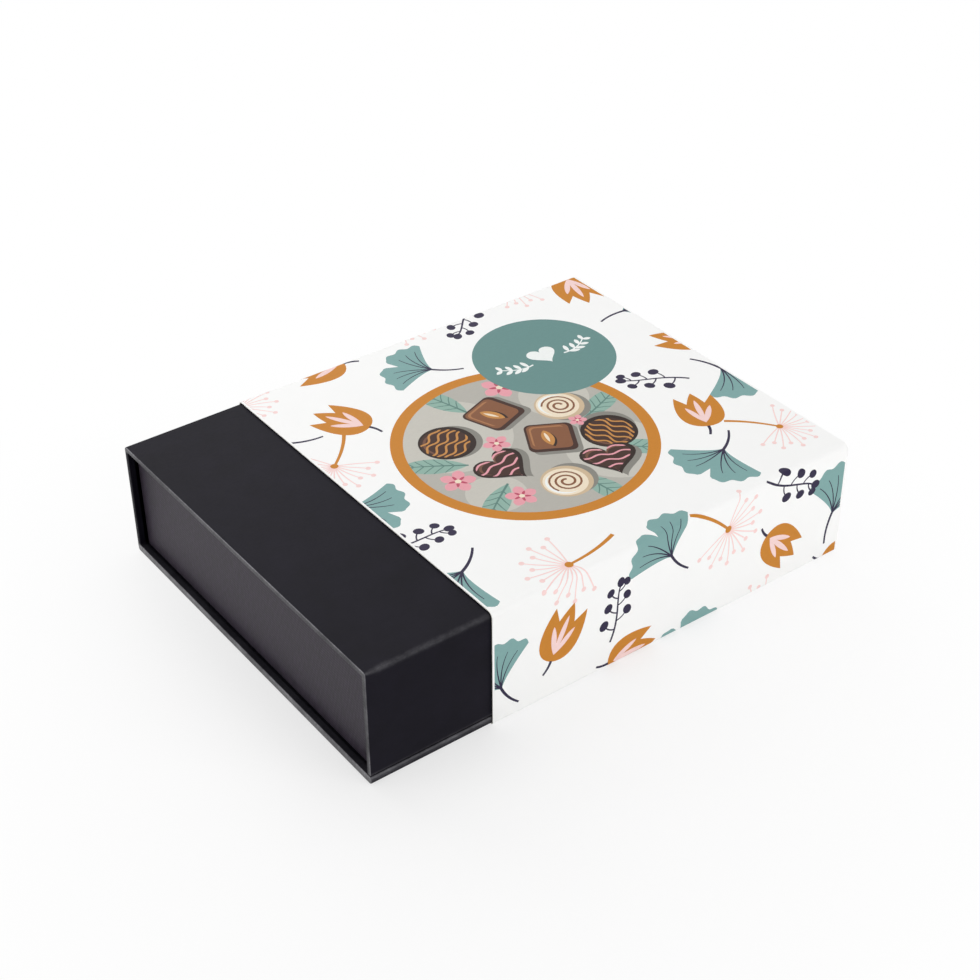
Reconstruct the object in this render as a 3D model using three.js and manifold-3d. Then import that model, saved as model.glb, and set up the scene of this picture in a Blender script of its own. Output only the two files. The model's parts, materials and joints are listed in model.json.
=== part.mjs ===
// A chocolate box: a book-style magnetic gift box in a printed card sleeve.
// Four paper-covered boards (base, spine, lid and front flap) wrap round a tray of chocolates,
// and a thin sleeve, open at both ends, slides over them. It is drawn part of the way off.
// Millimetres, +Z up. The sleeve slides along X, and the box shows at the -X end.
// The front flap faces -Y and the spine faces +Y.
// Inside the box group, x is counted from the showing end, y from the flap's outer face
// and z from the base's underside.

import * as THREE from 'three';
import Module from 'manifold-3d';
import { mergeVertices } from 'three/addons/utils/BufferGeometryUtils.js';

const wasm = await Module();
wasm.setup();

// The closed box, over its covering paper.
const boxLength = 204;
const boxWidth = 200;
const boxHeight = 59.25;

// Papers and boards, by their thickness.
const wrapPaper = 0.2;
const linerPaper = 0.2;
const trayPaper = 0.2;
const caseBoard = 2;
const baseBoard = 3.2;
const trayBoard = 2;
const trayFloorBoard = 1.5;

// The case: its folds are round on the outside, and its board edges are a little soft.
const flapFoldRadius = 3;
const spineFoldRadius = 1.5;
const boardEdgeRadius = 0.5;
const baseEdgeRadius = 1.1;
const baseLip = 0.2;
const flapToBaseGap = 0.9;
const linerMargin = 3;
const foldSteps = 6;
const boardEdgeSteps = 3;

// The tray stands back from both ends of the case.
const trayRecess = 4.4;
const trayToFlapGap = 0.4;
const trayToLidGap = 0.4;
const trayLinerClearance = 0.5;

// Disc magnets in the flap, and steel discs behind the tray's front paper.
const discRadius = 6;
const discThickness = 1.5;
const discPocketClearance = 0.1;
const discHeight = 30;
const discFromEnd = 50;
const discSides = 24;

// The sleeve.
const sleeveLength = 204;
const sleeveCard = 0.45;
const sleeveClearance = 0.45;
const sleeveClearanceBelow = 0.1;
const sleeveFoldRadius = 2;
const sleeveDrawnOff = 61.5;
const glueFlapWidth = 16;
const glueFlapThickness = 0.3;
const glueFlapFromEnd = 2;

// What the tray holds: two layers of chocolates in formed inserts, with paper pads over them.
const chocolateRows = 4;
const chocolateColumns = 4;
const chocolateLayers = 2;
const insertClearance = 0.4;
const insertSheet = 0.5;
const insertRim = 2;
const landBetweenCups = 6.3;
const cupDraft = 1.5;
const cupSides = 20;
const middlePadThickness = 2;
const topPadThickness = 3;
const topPadToLidGap = 0.8;
const padClearance = 1;
const chocolateToCupClearance = 1.6;
const chocolateToPadClearance = 3;
const chocolateSides = 20;

// One overrun takes every cut past the face that it goes through.
const overrun = 0.1;

// Widths of the covered boards, and where their inner faces lie.
const coveredCase = wrapPaper + caseBoard + linerPaper;
const coveredBase = wrapPaper + baseBoard + linerPaper;
const flapInnerFace = coveredCase;
const spineInnerFace = boxWidth - coveredCase;
const lidInnerFace = boxHeight - coveredCase;
const flapLowerEdge = coveredBase + flapToBaseGap;

// The tray's outside, over its own paper.
const tray = {
  x0: trayRecess,
  x1: boxLength - trayRecess,
  y0: flapInnerFace + trayToFlapGap,
  y1: spineInnerFace,
  z0: coveredBase,
  z1: lidInnerFace - trayToLidGap,
};
const trayWall = trayPaper + trayBoard + trayPaper;
const cavity = {
  x0: tray.x0 + trayWall,
  x1: tray.x1 - trayWall,
  y0: tray.y0 + trayWall,
  y1: tray.y1 - trayWall,
};
const trayFloorTop = tray.z0 + trayFloorBoard;
const contentsFloor = trayFloorTop + linerPaper;

// The filling shares the depth of the tray between its layers, and each cup fills its place.
const insertHeight =
  (lidInnerFace - topPadToLidGap - topPadThickness - middlePadThickness - contentsFloor) / chocolateLayers;
const cupField = {
  x0: cavity.x0 + insertClearance + insertRim,
  x1: cavity.x1 - insertClearance - insertRim,
  y0: cavity.y0 + insertClearance + insertRim,
  y1: cavity.y1 - insertClearance - insertRim,
};
const columnPitch = (cupField.x1 - cupField.x0) / chocolateColumns;
const rowPitch = (cupField.y1 - cupField.y0) / chocolateRows;
const cupFlatShare = Math.cos(Math.PI / cupSides);
const cupTopRadius = (Math.min(columnPitch, rowPitch) - landBetweenCups) / 2 / cupFlatShare;
const cupBottomRadius = cupTopRadius - cupDraft;
const chocolateRadius = (cupBottomRadius - insertSheet) * cupFlatShare - chocolateToCupClearance;
const chocolateHeight = insertHeight - insertSheet - chocolateToPadClearance;

function blackPaper() {
  return new THREE.MeshStandardMaterial({ color: 0x2b2b2f, roughness: 0.55, metalness: 0 });
}

function linenPaper() {
  return new THREE.MeshStandardMaterial({ color: 0x3a3a3c, roughness: 0.75, metalness: 0 });
}

function greyboard() {
  return new THREE.MeshStandardMaterial({ color: 0x8f8a80, roughness: 0.9, metalness: 0 });
}

function magnetMetal() {
  return new THREE.MeshStandardMaterial({ color: 0xb9bbbd, roughness: 0.3, metalness: 1 });
}

function discSteel() {
  return new THREE.MeshStandardMaterial({ color: 0x8e9093, roughness: 0.45, metalness: 1 });
}

function whiteCard() {
  return new THREE.MeshStandardMaterial({ color: 0xf7f6f3, roughness: 0.5, metalness: 0 });
}

function insertPlastic() {
  return new THREE.MeshStandardMaterial({ color: 0xb08a4a, roughness: 0.35, metalness: 0.2 });
}

function padPaper() {
  return new THREE.MeshStandardMaterial({ color: 0x4a3426, roughness: 0.8, metalness: 0 });
}

function chocolate(shade) {
  return new THREE.MeshStandardMaterial({ color: shade, roughness: 0.4, metalness: 0 });
}

const chocolateShades = [0x3b2216, 0x5a3520, 0x7a4c2b, 0xe8d8b8];

// A mesh with the given geometry, ready to be added to its group.
function piece(name, geometry, material) {
  const mesh = new THREE.Mesh(geometry, material);
  mesh.name = name;
  return mesh;
}

// A block between two corners.
function block(low, high) {
  const size = new THREE.Vector3().subVectors(high, low);
  const geometry = new THREE.BoxGeometry(size.x, size.y, size.z);
  const centre = new THREE.Vector3().addVectors(low, high).multiplyScalar(0.5);
  return geometry.translate(centre.x, centre.y, centre.z);
}

function corner(x, y, z) {
  return new THREE.Vector3(x, y, z);
}

function toSolid(geometry) {
  const bare = geometry.clone();
  bare.deleteAttribute('normal');
  bare.deleteAttribute('uv');
  const merged = mergeVertices(bare);
  const mesh = new wasm.Mesh({
    numProp: 3,
    vertProperties: new Float32Array(merged.attributes.position.array),
    triVerts: new Uint32Array(merged.index.array),
  });
  return new wasm.Manifold(mesh);
}

function toGeometry(solid) {
  const mesh = solid.getMesh();
  const geometry = new THREE.BufferGeometry();
  geometry.setAttribute('position', new THREE.BufferAttribute(new Float32Array(mesh.vertProperties), 3));
  geometry.setIndex(new THREE.BufferAttribute(new Uint32Array(mesh.triVerts), 1));
  const faceted = geometry.toNonIndexed();
  faceted.computeVertexNormals();
  return faceted;
}

// The first geometry with the others cut from it.
function cutFrom(whole, ...cutters) {
  let solid = toSolid(whole);
  for (const cutter of cutters) {
    solid = solid.subtract(toSolid(cutter));
  }
  return toGeometry(solid);
}

// Points of an outline whose corners are [y, z, radius]; a corner without a radius is sharp.
function roundedOutline(corners) {
  const points = [];
  corners.forEach(([y, z, radius], index) => {
    const here = new THREE.Vector2(y, z);
    if (!radius) {
      points.push(here);
      return;
    }
    const [lastY, lastZ] = corners[(index + corners.length - 1) % corners.length];
    const [nextY, nextZ] = corners[(index + 1) % corners.length];
    const back = new THREE.Vector2(lastY, lastZ).sub(here).normalize();
    const ahead = new THREE.Vector2(nextY, nextZ).sub(here).normalize();
    const centre = here.clone().addScaledVector(back, radius).addScaledVector(ahead, radius);
    for (let step = 0; step <= foldSteps; step += 1) {
      const turn = (step / foldSteps) * (Math.PI / 2);
      const point = centre.clone();
      point.addScaledVector(ahead, -radius * Math.cos(turn));
      point.addScaledVector(back, -radius * Math.sin(turn));
      points.push(point);
    }
  });
  return points;
}

// An outline in the Y-Z plane, drawn out along X from x0 to x1.
function alongX(shape, x0, x1) {
  const geometry = new THREE.ExtrudeGeometry(shape, { depth: x1 - x0, bevelEnabled: false });
  const turn = new THREE.Matrix4().set(0, 0, 1, x0, 1, 0, 0, 0, 0, 1, 0, 0, 0, 0, 0, 1);
  return geometry.applyMatrix4(turn);
}

// The closed case as one ring of board, open only between the flap and the base.
// It is drawn in from its outside by one amount, and from its inside by another.
function caseSection(fromOutside, fromInside) {
  const edge = fromOutside ? 0 : boardEdgeRadius;
  const baseEdge = baseEdgeRadius - fromOutside;
  const lip = -baseLip + fromOutside;
  const flapEnd = flapLowerEdge + fromOutside;
  return new THREE.Shape(
    roundedOutline([
      [lip, fromOutside, baseEdge],
      [boxWidth - fromOutside, fromOutside, spineFoldRadius - fromOutside],
      [boxWidth - fromOutside, boxHeight - fromOutside, spineFoldRadius - fromOutside],
      [fromOutside, boxHeight - fromOutside, flapFoldRadius - fromOutside],
      [fromOutside, flapEnd, edge],
      [flapInnerFace - fromInside, flapEnd, edge],
      [flapInnerFace - fromInside, lidInnerFace + fromInside],
      [spineInnerFace + fromInside, lidInnerFace + fromInside],
      [spineInnerFace + fromInside, coveredBase - fromInside],
      [lip, coveredBase - fromInside, baseEdge],
    ]),
  );
}

// The lining sheet over the inner faces, from the flap's foot round to the base's front.
// It is grown by an amount on both of its faces.
function liningSection(grown) {
  const front = flapInnerFace + grown;
  const under = lidInnerFace - grown;
  const back = spineInnerFace - grown;
  const floor = coveredBase + grown;
  const deep = linerPaper + grown + grown;
  const flapFoot = flapLowerEdge + linerMargin;
  const baseFront = -baseLip + linerMargin;
  return new THREE.Shape(
    roundedOutline([
      [front, flapFoot],
      [front, under],
      [back, under],
      [back, floor],
      [baseFront, floor],
      [baseFront, floor - deep],
      [back + deep, floor - deep],
      [back + deep, under + deep],
      [front - deep, under + deep],
      [front - deep, flapFoot],
    ]),
  );
}

function caseWrap() {
  const ring = alongX(caseSection(0, 0), 0, boxLength);
  const boardSpace = alongX(caseSection(wrapPaper, linerPaper), wrapPaper, boxLength - wrapPaper);
  const liningSpace = alongX(liningSection(overrun), linerMargin, boxLength - linerMargin);
  return piece('case_wrap', cutFrom(ring, boardSpace, liningSpace), blackPaper());
}

function caseLining() {
  const sheet = alongX(liningSection(0), linerMargin, boxLength - linerMargin);
  return piece('case_lining', sheet, blackPaper());
}

// The places along X of the two discs.
function discPlaces() {
  return [discFromEnd, boxLength - discFromEnd];
}

// A disc lying against the Y direction, from y0 to y1.
function disc(radius, x, y0, y1) {
  const geometry = new THREE.CylinderGeometry(radius, radius, y1 - y0, discSides);
  return geometry.translate(x, (y0 + y1) / 2, discHeight);
}

// The base is thick board, with every edge pressed round to sit under its paper.
function pressedBase(low, high) {
  const round = baseEdgeRadius - wrapPaper;
  const outline = new THREE.Shape([
    new THREE.Vector2(low.x + round, low.y + round),
    new THREE.Vector2(high.x - round, low.y + round),
    new THREE.Vector2(high.x - round, high.y - round),
    new THREE.Vector2(low.x + round, high.y - round),
  ]);
  const geometry = new THREE.ExtrudeGeometry(outline, {
    depth: high.z - low.z - round - round,
    bevelSize: round,
    bevelThickness: round,
    bevelSegments: boardEdgeSteps,
  });
  return geometry.translate(0, 0, low.z + round);
}

function caseBoards() {
  const x0 = wrapPaper;
  const x1 = boxLength - wrapPaper;
  const lidTop = boxHeight - wrapPaper;
  const spineBack = boxWidth - wrapPaper;
  const flapInside = wrapPaper + caseBoard;
  const base = pressedBase(
    corner(x0, -baseLip + wrapPaper, wrapPaper),
    corner(x1, spineInnerFace, wrapPaper + baseBoard),
  );
  const spine = block(
    corner(x0, spineBack - caseBoard, spineFoldRadius),
    corner(x1, spineBack, boxHeight - spineFoldRadius),
  );
  const lid = block(
    corner(x0, flapFoldRadius, lidTop - caseBoard),
    corner(x1, spineInnerFace, lidTop),
  );
  const flap = block(
    corner(x0, wrapPaper, flapLowerEdge + wrapPaper),
    corner(x1, flapInside, boxHeight - flapFoldRadius),
  );
  const pocketRadius = discRadius + discPocketClearance;
  const pockets = discPlaces().map((x) =>
    disc(pocketRadius, x, flapInside - discThickness, flapInside + overrun),
  );
  return [
    piece('base_board', base, greyboard()),
    piece('spine_board', spine, greyboard()),
    piece('lid_board', lid, greyboard()),
    piece('flap_board', cutFrom(flap, ...pockets), greyboard()),
  ];
}

function flapMagnets() {
  const inside = wrapPaper + caseBoard;
  return discPlaces().map((x, index) =>
    piece(`flap_magnet_${index + 1}`, disc(discRadius, x, inside - discThickness, inside), magnetMetal()),
  );
}

function trayDiscs() {
  const front = tray.y0 + trayPaper;
  return discPlaces().map((x, index) =>
    piece(`tray_disc_${index + 1}`, disc(discRadius, x, front, front + discThickness), discSteel()),
  );
}

// The tray's four walls of board, with their discs' pockets in the front one.
function trayWalls() {
  const x0 = tray.x0 + trayPaper;
  const x1 = tray.x1 - trayPaper;
  const y0 = tray.y0 + trayPaper;
  const y1 = tray.y1 - trayPaper;
  const z1 = tray.z1 - trayPaper;
  const front = block(corner(x0, y0, tray.z0), corner(x1, y0 + trayBoard, z1));
  const back = block(corner(x0, y1 - trayBoard, tray.z0), corner(x1, y1, z1));
  const nearEnd = block(
    corner(x0, y0 + trayBoard, tray.z0),
    corner(x0 + trayBoard, y1 - trayBoard, z1),
  );
  const farEnd = block(
    corner(x1 - trayBoard, y0 + trayBoard, tray.z0),
    corner(x1, y1 - trayBoard, z1),
  );
  const pocketRadius = discRadius + discPocketClearance;
  const pockets = discPlaces().map((x) => disc(pocketRadius, x, y0 - overrun, y0 + discThickness));
  return [
    piece('tray_front_wall', cutFrom(front, ...pockets), greyboard()),
    piece('tray_back_wall', back, greyboard()),
    piece('tray_near_end_wall', nearEnd, greyboard()),
    piece('tray_far_end_wall', farEnd, greyboard()),
  ];
}

// The tray's textured paper: down the outside of the walls, over their rims and down the inside.
function trayWrap() {
  const whole = block(corner(tray.x0, tray.y0, tray.z0), corner(tray.x1, tray.y1, tray.z1));
  const within = block(
    corner(cavity.x0, cavity.y0, tray.z0 - overrun),
    corner(cavity.x1, cavity.y1, tray.z1 + overrun),
  );
  const wallsWhole = block(
    corner(tray.x0 + trayPaper, tray.y0 + trayPaper, tray.z0 - overrun),
    corner(tray.x1 - trayPaper, tray.y1 - trayPaper, tray.z1 - trayPaper),
  );
  const wallsWithin = block(
    corner(cavity.x0 - trayPaper, cavity.y0 - trayPaper, trayFloorTop),
    corner(cavity.x1 + trayPaper, cavity.y1 + trayPaper, tray.z1),
  );
  const wallSpace = cutFrom(wallsWhole, wallsWithin);
  return piece('tray_wrap', cutFrom(whole, wallSpace, within), linenPaper());
}

function trayFloor() {
  const low = corner(cavity.x0 - trayPaper, cavity.y0 - trayPaper, tray.z0);
  const high = corner(cavity.x1 + trayPaper, cavity.y1 + trayPaper, trayFloorTop);
  return piece('tray_floor', block(low, high), greyboard());
}

function trayLining() {
  const low = corner(cavity.x0 + trayLinerClearance, cavity.y0 + trayLinerClearance, trayFloorTop);
  const high = corner(cavity.x1 - trayLinerClearance, cavity.y1 - trayLinerClearance, contentsFloor);
  return piece('tray_lining', block(low, high), blackPaper());
}

// The middles of the cups in one insert, row by row.
function cupPlaces() {
  const places = [];
  for (let row = 0; row < chocolateRows; row += 1) {
    for (let column = 0; column < chocolateColumns; column += 1) {
      places.push([cupField.x0 + columnPitch * (column + 0.5), cupField.y0 + rowPitch * (row + 0.5)]);
    }
  }
  return places;
}

// A tapered cup shape standing on z0, with its sides drawn in by an amount.
function cup(x, y, z0, z1, drawnIn) {
  const top = cupTopRadius - drawnIn;
  const bottom = cupBottomRadius - drawnIn;
  const geometry = new THREE.CylinderGeometry(top, bottom, z1 - z0, cupSides);
  geometry.rotateX(Math.PI / 2);
  geometry.rotateZ(Math.PI / cupSides);
  return geometry.translate(x, y, (z0 + z1) / 2);
}

// A formed insert of thin sheet: a plate with one cup for each chocolate.
function formedInsert(name, floor) {
  const plateTop = floor + insertHeight;
  const plate = block(
    corner(cavity.x0 + insertClearance, cavity.y0 + insertClearance, plateTop - insertSheet),
    corner(cavity.x1 - insertClearance, cavity.y1 - insertClearance, plateTop),
  );
  let solid = toSolid(plate);
  for (const [x, y] of cupPlaces()) {
    solid = solid.add(toSolid(cup(x, y, floor, plateTop, 0)));
  }
  for (const [x, y] of cupPlaces()) {
    solid = solid.subtract(toSolid(cup(x, y, floor + insertSheet, plateTop + overrun, insertSheet)));
  }
  return piece(name, toGeometry(solid), insertPlastic());
}

// The outline of one chocolate from its foot to its crown, in shares of its radius and height.
const chocolateShares = [
  [0, 0],
  [0.94, 0],
  [1, 0.12],
  [0.97, 0.45],
  [0.8, 0.78],
  [0.45, 0.96],
  [0, 1],
];

function layerOfChocolates(layerName, floor, firstShade) {
  const outline = chocolateShares.map(
    ([out, up]) => new THREE.Vector2(out * chocolateRadius, up * chocolateHeight),
  );
  return cupPlaces().map(([x, y], index) => {
    const geometry = new THREE.LatheGeometry(outline, chocolateSides);
    geometry.rotateX(Math.PI / 2);
    geometry.translate(x, y, floor + insertSheet);
    const row = Math.floor(index / chocolateColumns);
    const shade = chocolateShades[(index + row + firstShade) % chocolateShades.length];
    return piece(`${layerName}_chocolate_${index + 1}`, geometry, chocolate(shade));
  });
}

function paperPad(name, floor, thickness) {
  const low = corner(cavity.x0 + padClearance, cavity.y0 + padClearance, floor);
  const high = corner(cavity.x1 - padClearance, cavity.y1 - padClearance, floor + thickness);
  return piece(name, block(low, high), padPaper());
}

function contents() {
  const lowerTop = contentsFloor + insertHeight;
  const upperFloor = lowerTop + middlePadThickness;
  const upperTop = upperFloor + insertHeight;
  return [
    formedInsert('lower_insert', contentsFloor),
    ...layerOfChocolates('lower', contentsFloor, 0),
    paperPad('middle_pad', lowerTop, middlePadThickness),
    formedInsert('upper_insert', upperFloor),
    ...layerOfChocolates('upper', upperFloor, 1),
    paperPad('top_pad', upperTop, topPadThickness),
  ];
}

// The sleeve's section at its inner face, or grown outward by its card.
// The case rests in it with little room below, so its lower folds are the tighter ones.
function sleeveSection(card) {
  const clear = sleeveClearance + card;
  const below = sleeveClearanceBelow + card;
  return roundedOutline([
    [-clear, -below, baseEdgeRadius + below],
    [boxWidth + clear, -below, spineFoldRadius + below],
    [boxWidth + clear, boxHeight + clear, spineFoldRadius + clear],
    [-clear, boxHeight + clear, sleeveFoldRadius + clear],
  ]);
}

// One blank of card: its glue flap is pressed thin and stuck inside the back panel.
function sleeve() {
  const shape = new THREE.Shape(sleeveSection(sleeveCard));
  shape.holes.push(new THREE.Path(sleeveSection(0)));
  const ring = alongX(shape, 0, sleeveLength);
  const inside = boxWidth + sleeveClearance;
  const flapFoot = spineFoldRadius;
  const glueFlap = block(
    corner(glueFlapFromEnd, inside - glueFlapThickness, flapFoot),
    corner(sleeveLength - glueFlapFromEnd, inside + sleeveCard / 2, flapFoot + glueFlapWidth),
  );
  const whole = toGeometry(toSolid(ring).add(toSolid(glueFlap)));
  return piece('sleeve', whole, whiteCard());
}

const box = new THREE.Group();
box.name = 'box';
box.add(
  ...caseBoards(),
  ...flapMagnets(),
  caseWrap(),
  caseLining(),
  trayFloor(),
  ...trayWalls(),
  ...trayDiscs(),
  trayWrap(),
  trayLining(),
  ...contents(),
);

const sleeveGroup = new THREE.Group();
sleeveGroup.name = 'drawn_sleeve';
sleeveGroup.position.x = sleeveDrawnOff;
sleeveGroup.add(sleeve());

// The part stands on the sleeve's underside, with its middle over the origin.
const giftBox = new THREE.Group();
giftBox.name = 'chocolate_box';
const placed = new THREE.Group();
placed.position.set(-(sleeveDrawnOff + sleeveLength) / 2, -boxWidth / 2, sleeveClearanceBelow + sleeveCard);
placed.add(box, sleeveGroup);
giftBox.add(placed);

export default giftBox;
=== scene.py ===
"""The looks of a book-style black gift box of chocolates in its white printed card sleeve.

The pieces are drawn in millimetres, and the mesh maker turns them into metres. Materials, lights
and the camera are in metres.
"""

import json
import math
import random

import bpy
from mathutils import Matrix, Vector
from mathutils.geometry import delaunay_2d_cdt

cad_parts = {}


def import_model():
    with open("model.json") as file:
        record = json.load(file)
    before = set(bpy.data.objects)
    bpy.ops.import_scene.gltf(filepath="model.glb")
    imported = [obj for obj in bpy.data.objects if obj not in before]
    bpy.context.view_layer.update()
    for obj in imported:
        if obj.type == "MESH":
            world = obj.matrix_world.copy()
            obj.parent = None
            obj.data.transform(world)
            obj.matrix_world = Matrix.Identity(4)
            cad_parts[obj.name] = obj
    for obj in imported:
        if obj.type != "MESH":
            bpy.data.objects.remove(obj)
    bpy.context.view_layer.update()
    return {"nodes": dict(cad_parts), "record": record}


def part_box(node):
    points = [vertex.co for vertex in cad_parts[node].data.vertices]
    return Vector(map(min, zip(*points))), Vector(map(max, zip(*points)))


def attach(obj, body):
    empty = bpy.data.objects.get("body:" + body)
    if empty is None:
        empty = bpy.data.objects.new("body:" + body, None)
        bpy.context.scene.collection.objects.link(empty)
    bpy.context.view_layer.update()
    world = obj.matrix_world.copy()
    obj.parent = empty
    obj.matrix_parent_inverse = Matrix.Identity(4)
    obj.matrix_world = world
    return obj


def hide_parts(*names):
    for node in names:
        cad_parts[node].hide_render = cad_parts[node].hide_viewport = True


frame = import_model()

MILLIMETRE = 0.001
QUARTER = math.pi / 2


def box_mm(node):
    """The lowest and highest corner of a CAD node, in millimetres."""
    low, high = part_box(node)
    return Vector(low) / MILLIMETRE, Vector(high) / MILLIMETRE


# Sizes that the CAD model sets.
sleeve_low, sleeve_high = box_mm("sleeve")
case_low, case_high = box_mm("case_wrap")
tray_low, tray_high = box_mm("tray_wrap")

# Sizes of the folded papers, as in the CAD source.
CARD = 0.45
SLEEVE_CLEARANCE = 0.45
SLEEVE_CLEARANCE_BELOW = 0.1
GLUE_FLAP = 16.0
GLUE_FLAP_CARD = 0.3
FLAP_FOLD = 3.0
SLEEVE_FOLD = 2.0
SPINE_FOLD = 1.5
BOARD_EDGE = 0.5
BASE_EDGE = 1.1
COVERED_CASE = 2.4
COVERED_BASE = 3.6
FLAP_GAP = 0.9
BASE_LIP = 0.2

# How finely round places are divided.
FOLD_STEPS = 8
CORNER_STEPS = 6
EDGE_STEPS = 4

# Distances that count as nothing, and what a cut into triangles keeps.
HAIR = 1e-6
TOUCH = 1e-4
SLACK = 0.01
KEEP_ALL, KEEP_INSIDE = 0, 1

# Small tools for meshes.


def turned(point, angle):
    """A plane point turned about the origin."""
    c, s = math.cos(angle), math.sin(angle)
    return (point[0] * c - point[1] * s, point[0] * s + point[1] * c)


def quarter_arc(steps):
    """The angles of a quarter turn in even steps."""
    return [k / steps * QUARTER for k in range(steps + 1)]


def closed_edges(first, count):
    """The edges round a closed outline whose points follow one another."""
    return [(first + i, first + (i + 1) % count) for i in range(count)]


def joined(first, second, count, way=1):
    """The quads between two rings of points, each ring given by its first point."""
    quads = ([first + i, first + j, second + j, second + i] for i, j in closed_edges(0, count))
    return [quad[::way] for quad in quads]


def placed(name, data):
    """A new object with its data, in the scene."""
    thing = bpy.data.objects.new(name, data)
    bpy.context.scene.collection.objects.link(thing)
    return thing


def mesh_piece(name, points, faces, materials, slots=None, normals=None):
    """A mesh object from points in millimetres. Normals, if given, are one per face corner."""
    mesh = bpy.data.meshes.new(name)
    mesh.from_pydata([Vector(p) * MILLIMETRE for p in points], [], faces)
    for material in materials:
        mesh.materials.append(material)
    if slots:
        mesh.polygons.foreach_set("material_index", slots)
    mesh.update()
    if normals:
        mesh.polygons.foreach_set("use_smooth", [True] * len(faces))
        mesh.normals_split_custom_set(normals)
    return placed(name, mesh)


# Small tools for materials.


def feed(tree, inputs, values):
    """Sets each input to its value, or links it where that is another node's output."""
    for name, value in values.items():
        if isinstance(value, bpy.types.NodeSocket):
            tree.links.new(value, inputs[name])
        else:
            inputs[name].default_value = value


def wire(tree, kind, values=None, **settings):
    """Adds a node with its settings and its inputs, and gives its outputs."""
    node = tree.nodes.new(kind)
    for key, value in settings.items():
        setattr(node, key, value)
    feed(tree, node.inputs, values or {})
    return node.outputs


def maths(tree, operation, *values):
    return wire(tree, "ShaderNodeMath", dict(enumerate(values)), operation=operation)[0]


def vector_maths(tree, operation, values, output=0):
    return wire(tree, "ShaderNodeVectorMath", values, operation=operation)[output]


def noise(tree, place, scale, **values):
    return wire(tree, "ShaderNodeTexNoise", {"Vector": place, "Scale": scale, **values})


def stretched(tree, place, scale):
    return wire(tree, "ShaderNodeMapping", {"Vector": place, "Scale": scale})["Vector"]


def spread(tree, value, low, high, start=0.0, end=1.0, kind="LINEAR"):
    """A value between a low and a high limit, spread from the start to the end."""
    limits = {"Value": value, "From Min": low, "From Max": high, "To Min": start, "To Max": end}
    return wire(tree, "ShaderNodeMapRange", limits, interpolation_type=kind)["Result"]


def mixed_colour(tree, share, first, second):
    """The first colour where the share is zero, and the second where it is one."""
    return wire(tree, "ShaderNodeMix", {0: share, 6: first, 7: second}, data_type="RGBA")[2]


def colour(text):
    """A colour written as six hex digits, as linear values."""
    parts = [int(text[i : i + 2], 16) / 255 for i in (0, 2, 4)]
    linear = [p / 12.92 if p <= 0.04045 else ((p + 0.055) / 1.055) ** 2.4 for p in parts]
    return (*linear, 1.0)


def new_group(name, inputs, outputs, output_kind="Float"):
    """A shader node group. An input without a value is a vector, and one with four is a colour."""
    tree = bpy.data.node_groups.new(name, "ShaderNodeTree")
    for label, value in inputs.items():
        kind = "Vector" if value is None else "Float" if isinstance(value, float) else "Color"
        socket = tree.interface.new_socket(label, in_out="INPUT", socket_type="NodeSocket" + kind)
        if value is not None:
            socket.default_value = value
    for label in outputs:
        tree.interface.new_socket(label, in_out="OUTPUT", socket_type="NodeSocket" + output_kind)
    start = tree.nodes.new("NodeGroupInput")
    end = tree.nodes.new("NodeGroupOutput")
    return tree, start.outputs, end.inputs


def paper_group():
    """Paper: a cloudy formation, fine fibres, and the height of both. A higher size is finer."""
    inputs = {"Place": None, "Cloud Size": 90.0, "Fibre Size": 1400.0, "Fibre Share": 0.4}
    tree, start, end = new_group("paper_formation", inputs, ("Cloud", "Fibre", "Height"))
    cloud = noise(tree, start["Place"], start["Cloud Size"], Detail=4.0, Roughness=0.6)[0]
    grain = stretched(tree, start["Place"], (0.3, 1.0, 0.6))
    fibre = noise(tree, grain, start["Fibre Size"], Detail=3.0, Distortion=0.8)[0]
    shares = {"Factor": start["Fibre Share"], 2: cloud, 3: fibre}
    height = wire(tree, "ShaderNodeMix", shares, data_type="FLOAT")[0]
    feed(tree, end, {"Cloud": cloud, "Fibre": fibre, "Height": height})
    return tree


def tint_group():
    """A colour made a little lighter and darker by a value round one half."""
    inputs = {"Colour": (0.5, 0.5, 0.5, 1.0), "Value": 0.5, "Amount": 0.1}
    tree, start, end = new_group("uneven_tint", inputs, ("Colour",), "Color")
    away = maths(tree, "SUBTRACT", start["Value"], 0.5)
    part = maths(tree, "MULTIPLY_ADD", away, start["Amount"], 1.0)
    feed(tree, end, {"Colour": vector_maths(tree, "SCALE", {0: start["Colour"], "Scale": part})})
    return tree


def linen_group():
    """Embossed linen: two sets of crossing threads, uneven in width, as a height."""
    inputs = {"Place": None, "Threads Up": 900.0, "Threads Across": 700.0, "Wander": 0.0006}
    tree, start, end = new_group("linen_emboss", inputs, ("Height", "Slub"))
    drift = noise(tree, start["Place"], 160.0, Detail=2.0)["Color"]
    centred = vector_maths(tree, "SUBTRACT", {0: drift, 1: (0.5, 0.5, 0.5)})
    small = vector_maths(tree, "SCALE", {0: centred, "Scale": start["Wander"]})
    moved = vector_maths(tree, "ADD", {0: start["Place"], 1: small})
    parts = wire(tree, "ShaderNodeSeparateXYZ", {0: moved})
    level = maths(tree, "ADD", parts["X"], parts["Y"])
    threads = []
    for along, count in ((level, "Threads Up"), (parts["Z"], "Threads Across")):
        turns = maths(tree, "MULTIPLY", along, start[count])
        threads.append(maths(tree, "SINE", maths(tree, "MULTIPLY", turns, math.tau)))
    weave = maths(tree, "MULTIPLY_ADD", maths(tree, "ADD", *threads), 0.25, 0.5)
    slub = noise(tree, stretched(tree, start["Place"], (1.0, 1.0, 0.45)), 760.0, Detail=4.0)[0]
    feed(tree, end, {"Height": maths(tree, "MULTIPLY", weave, slub), "Slub": slub})
    return tree


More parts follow.
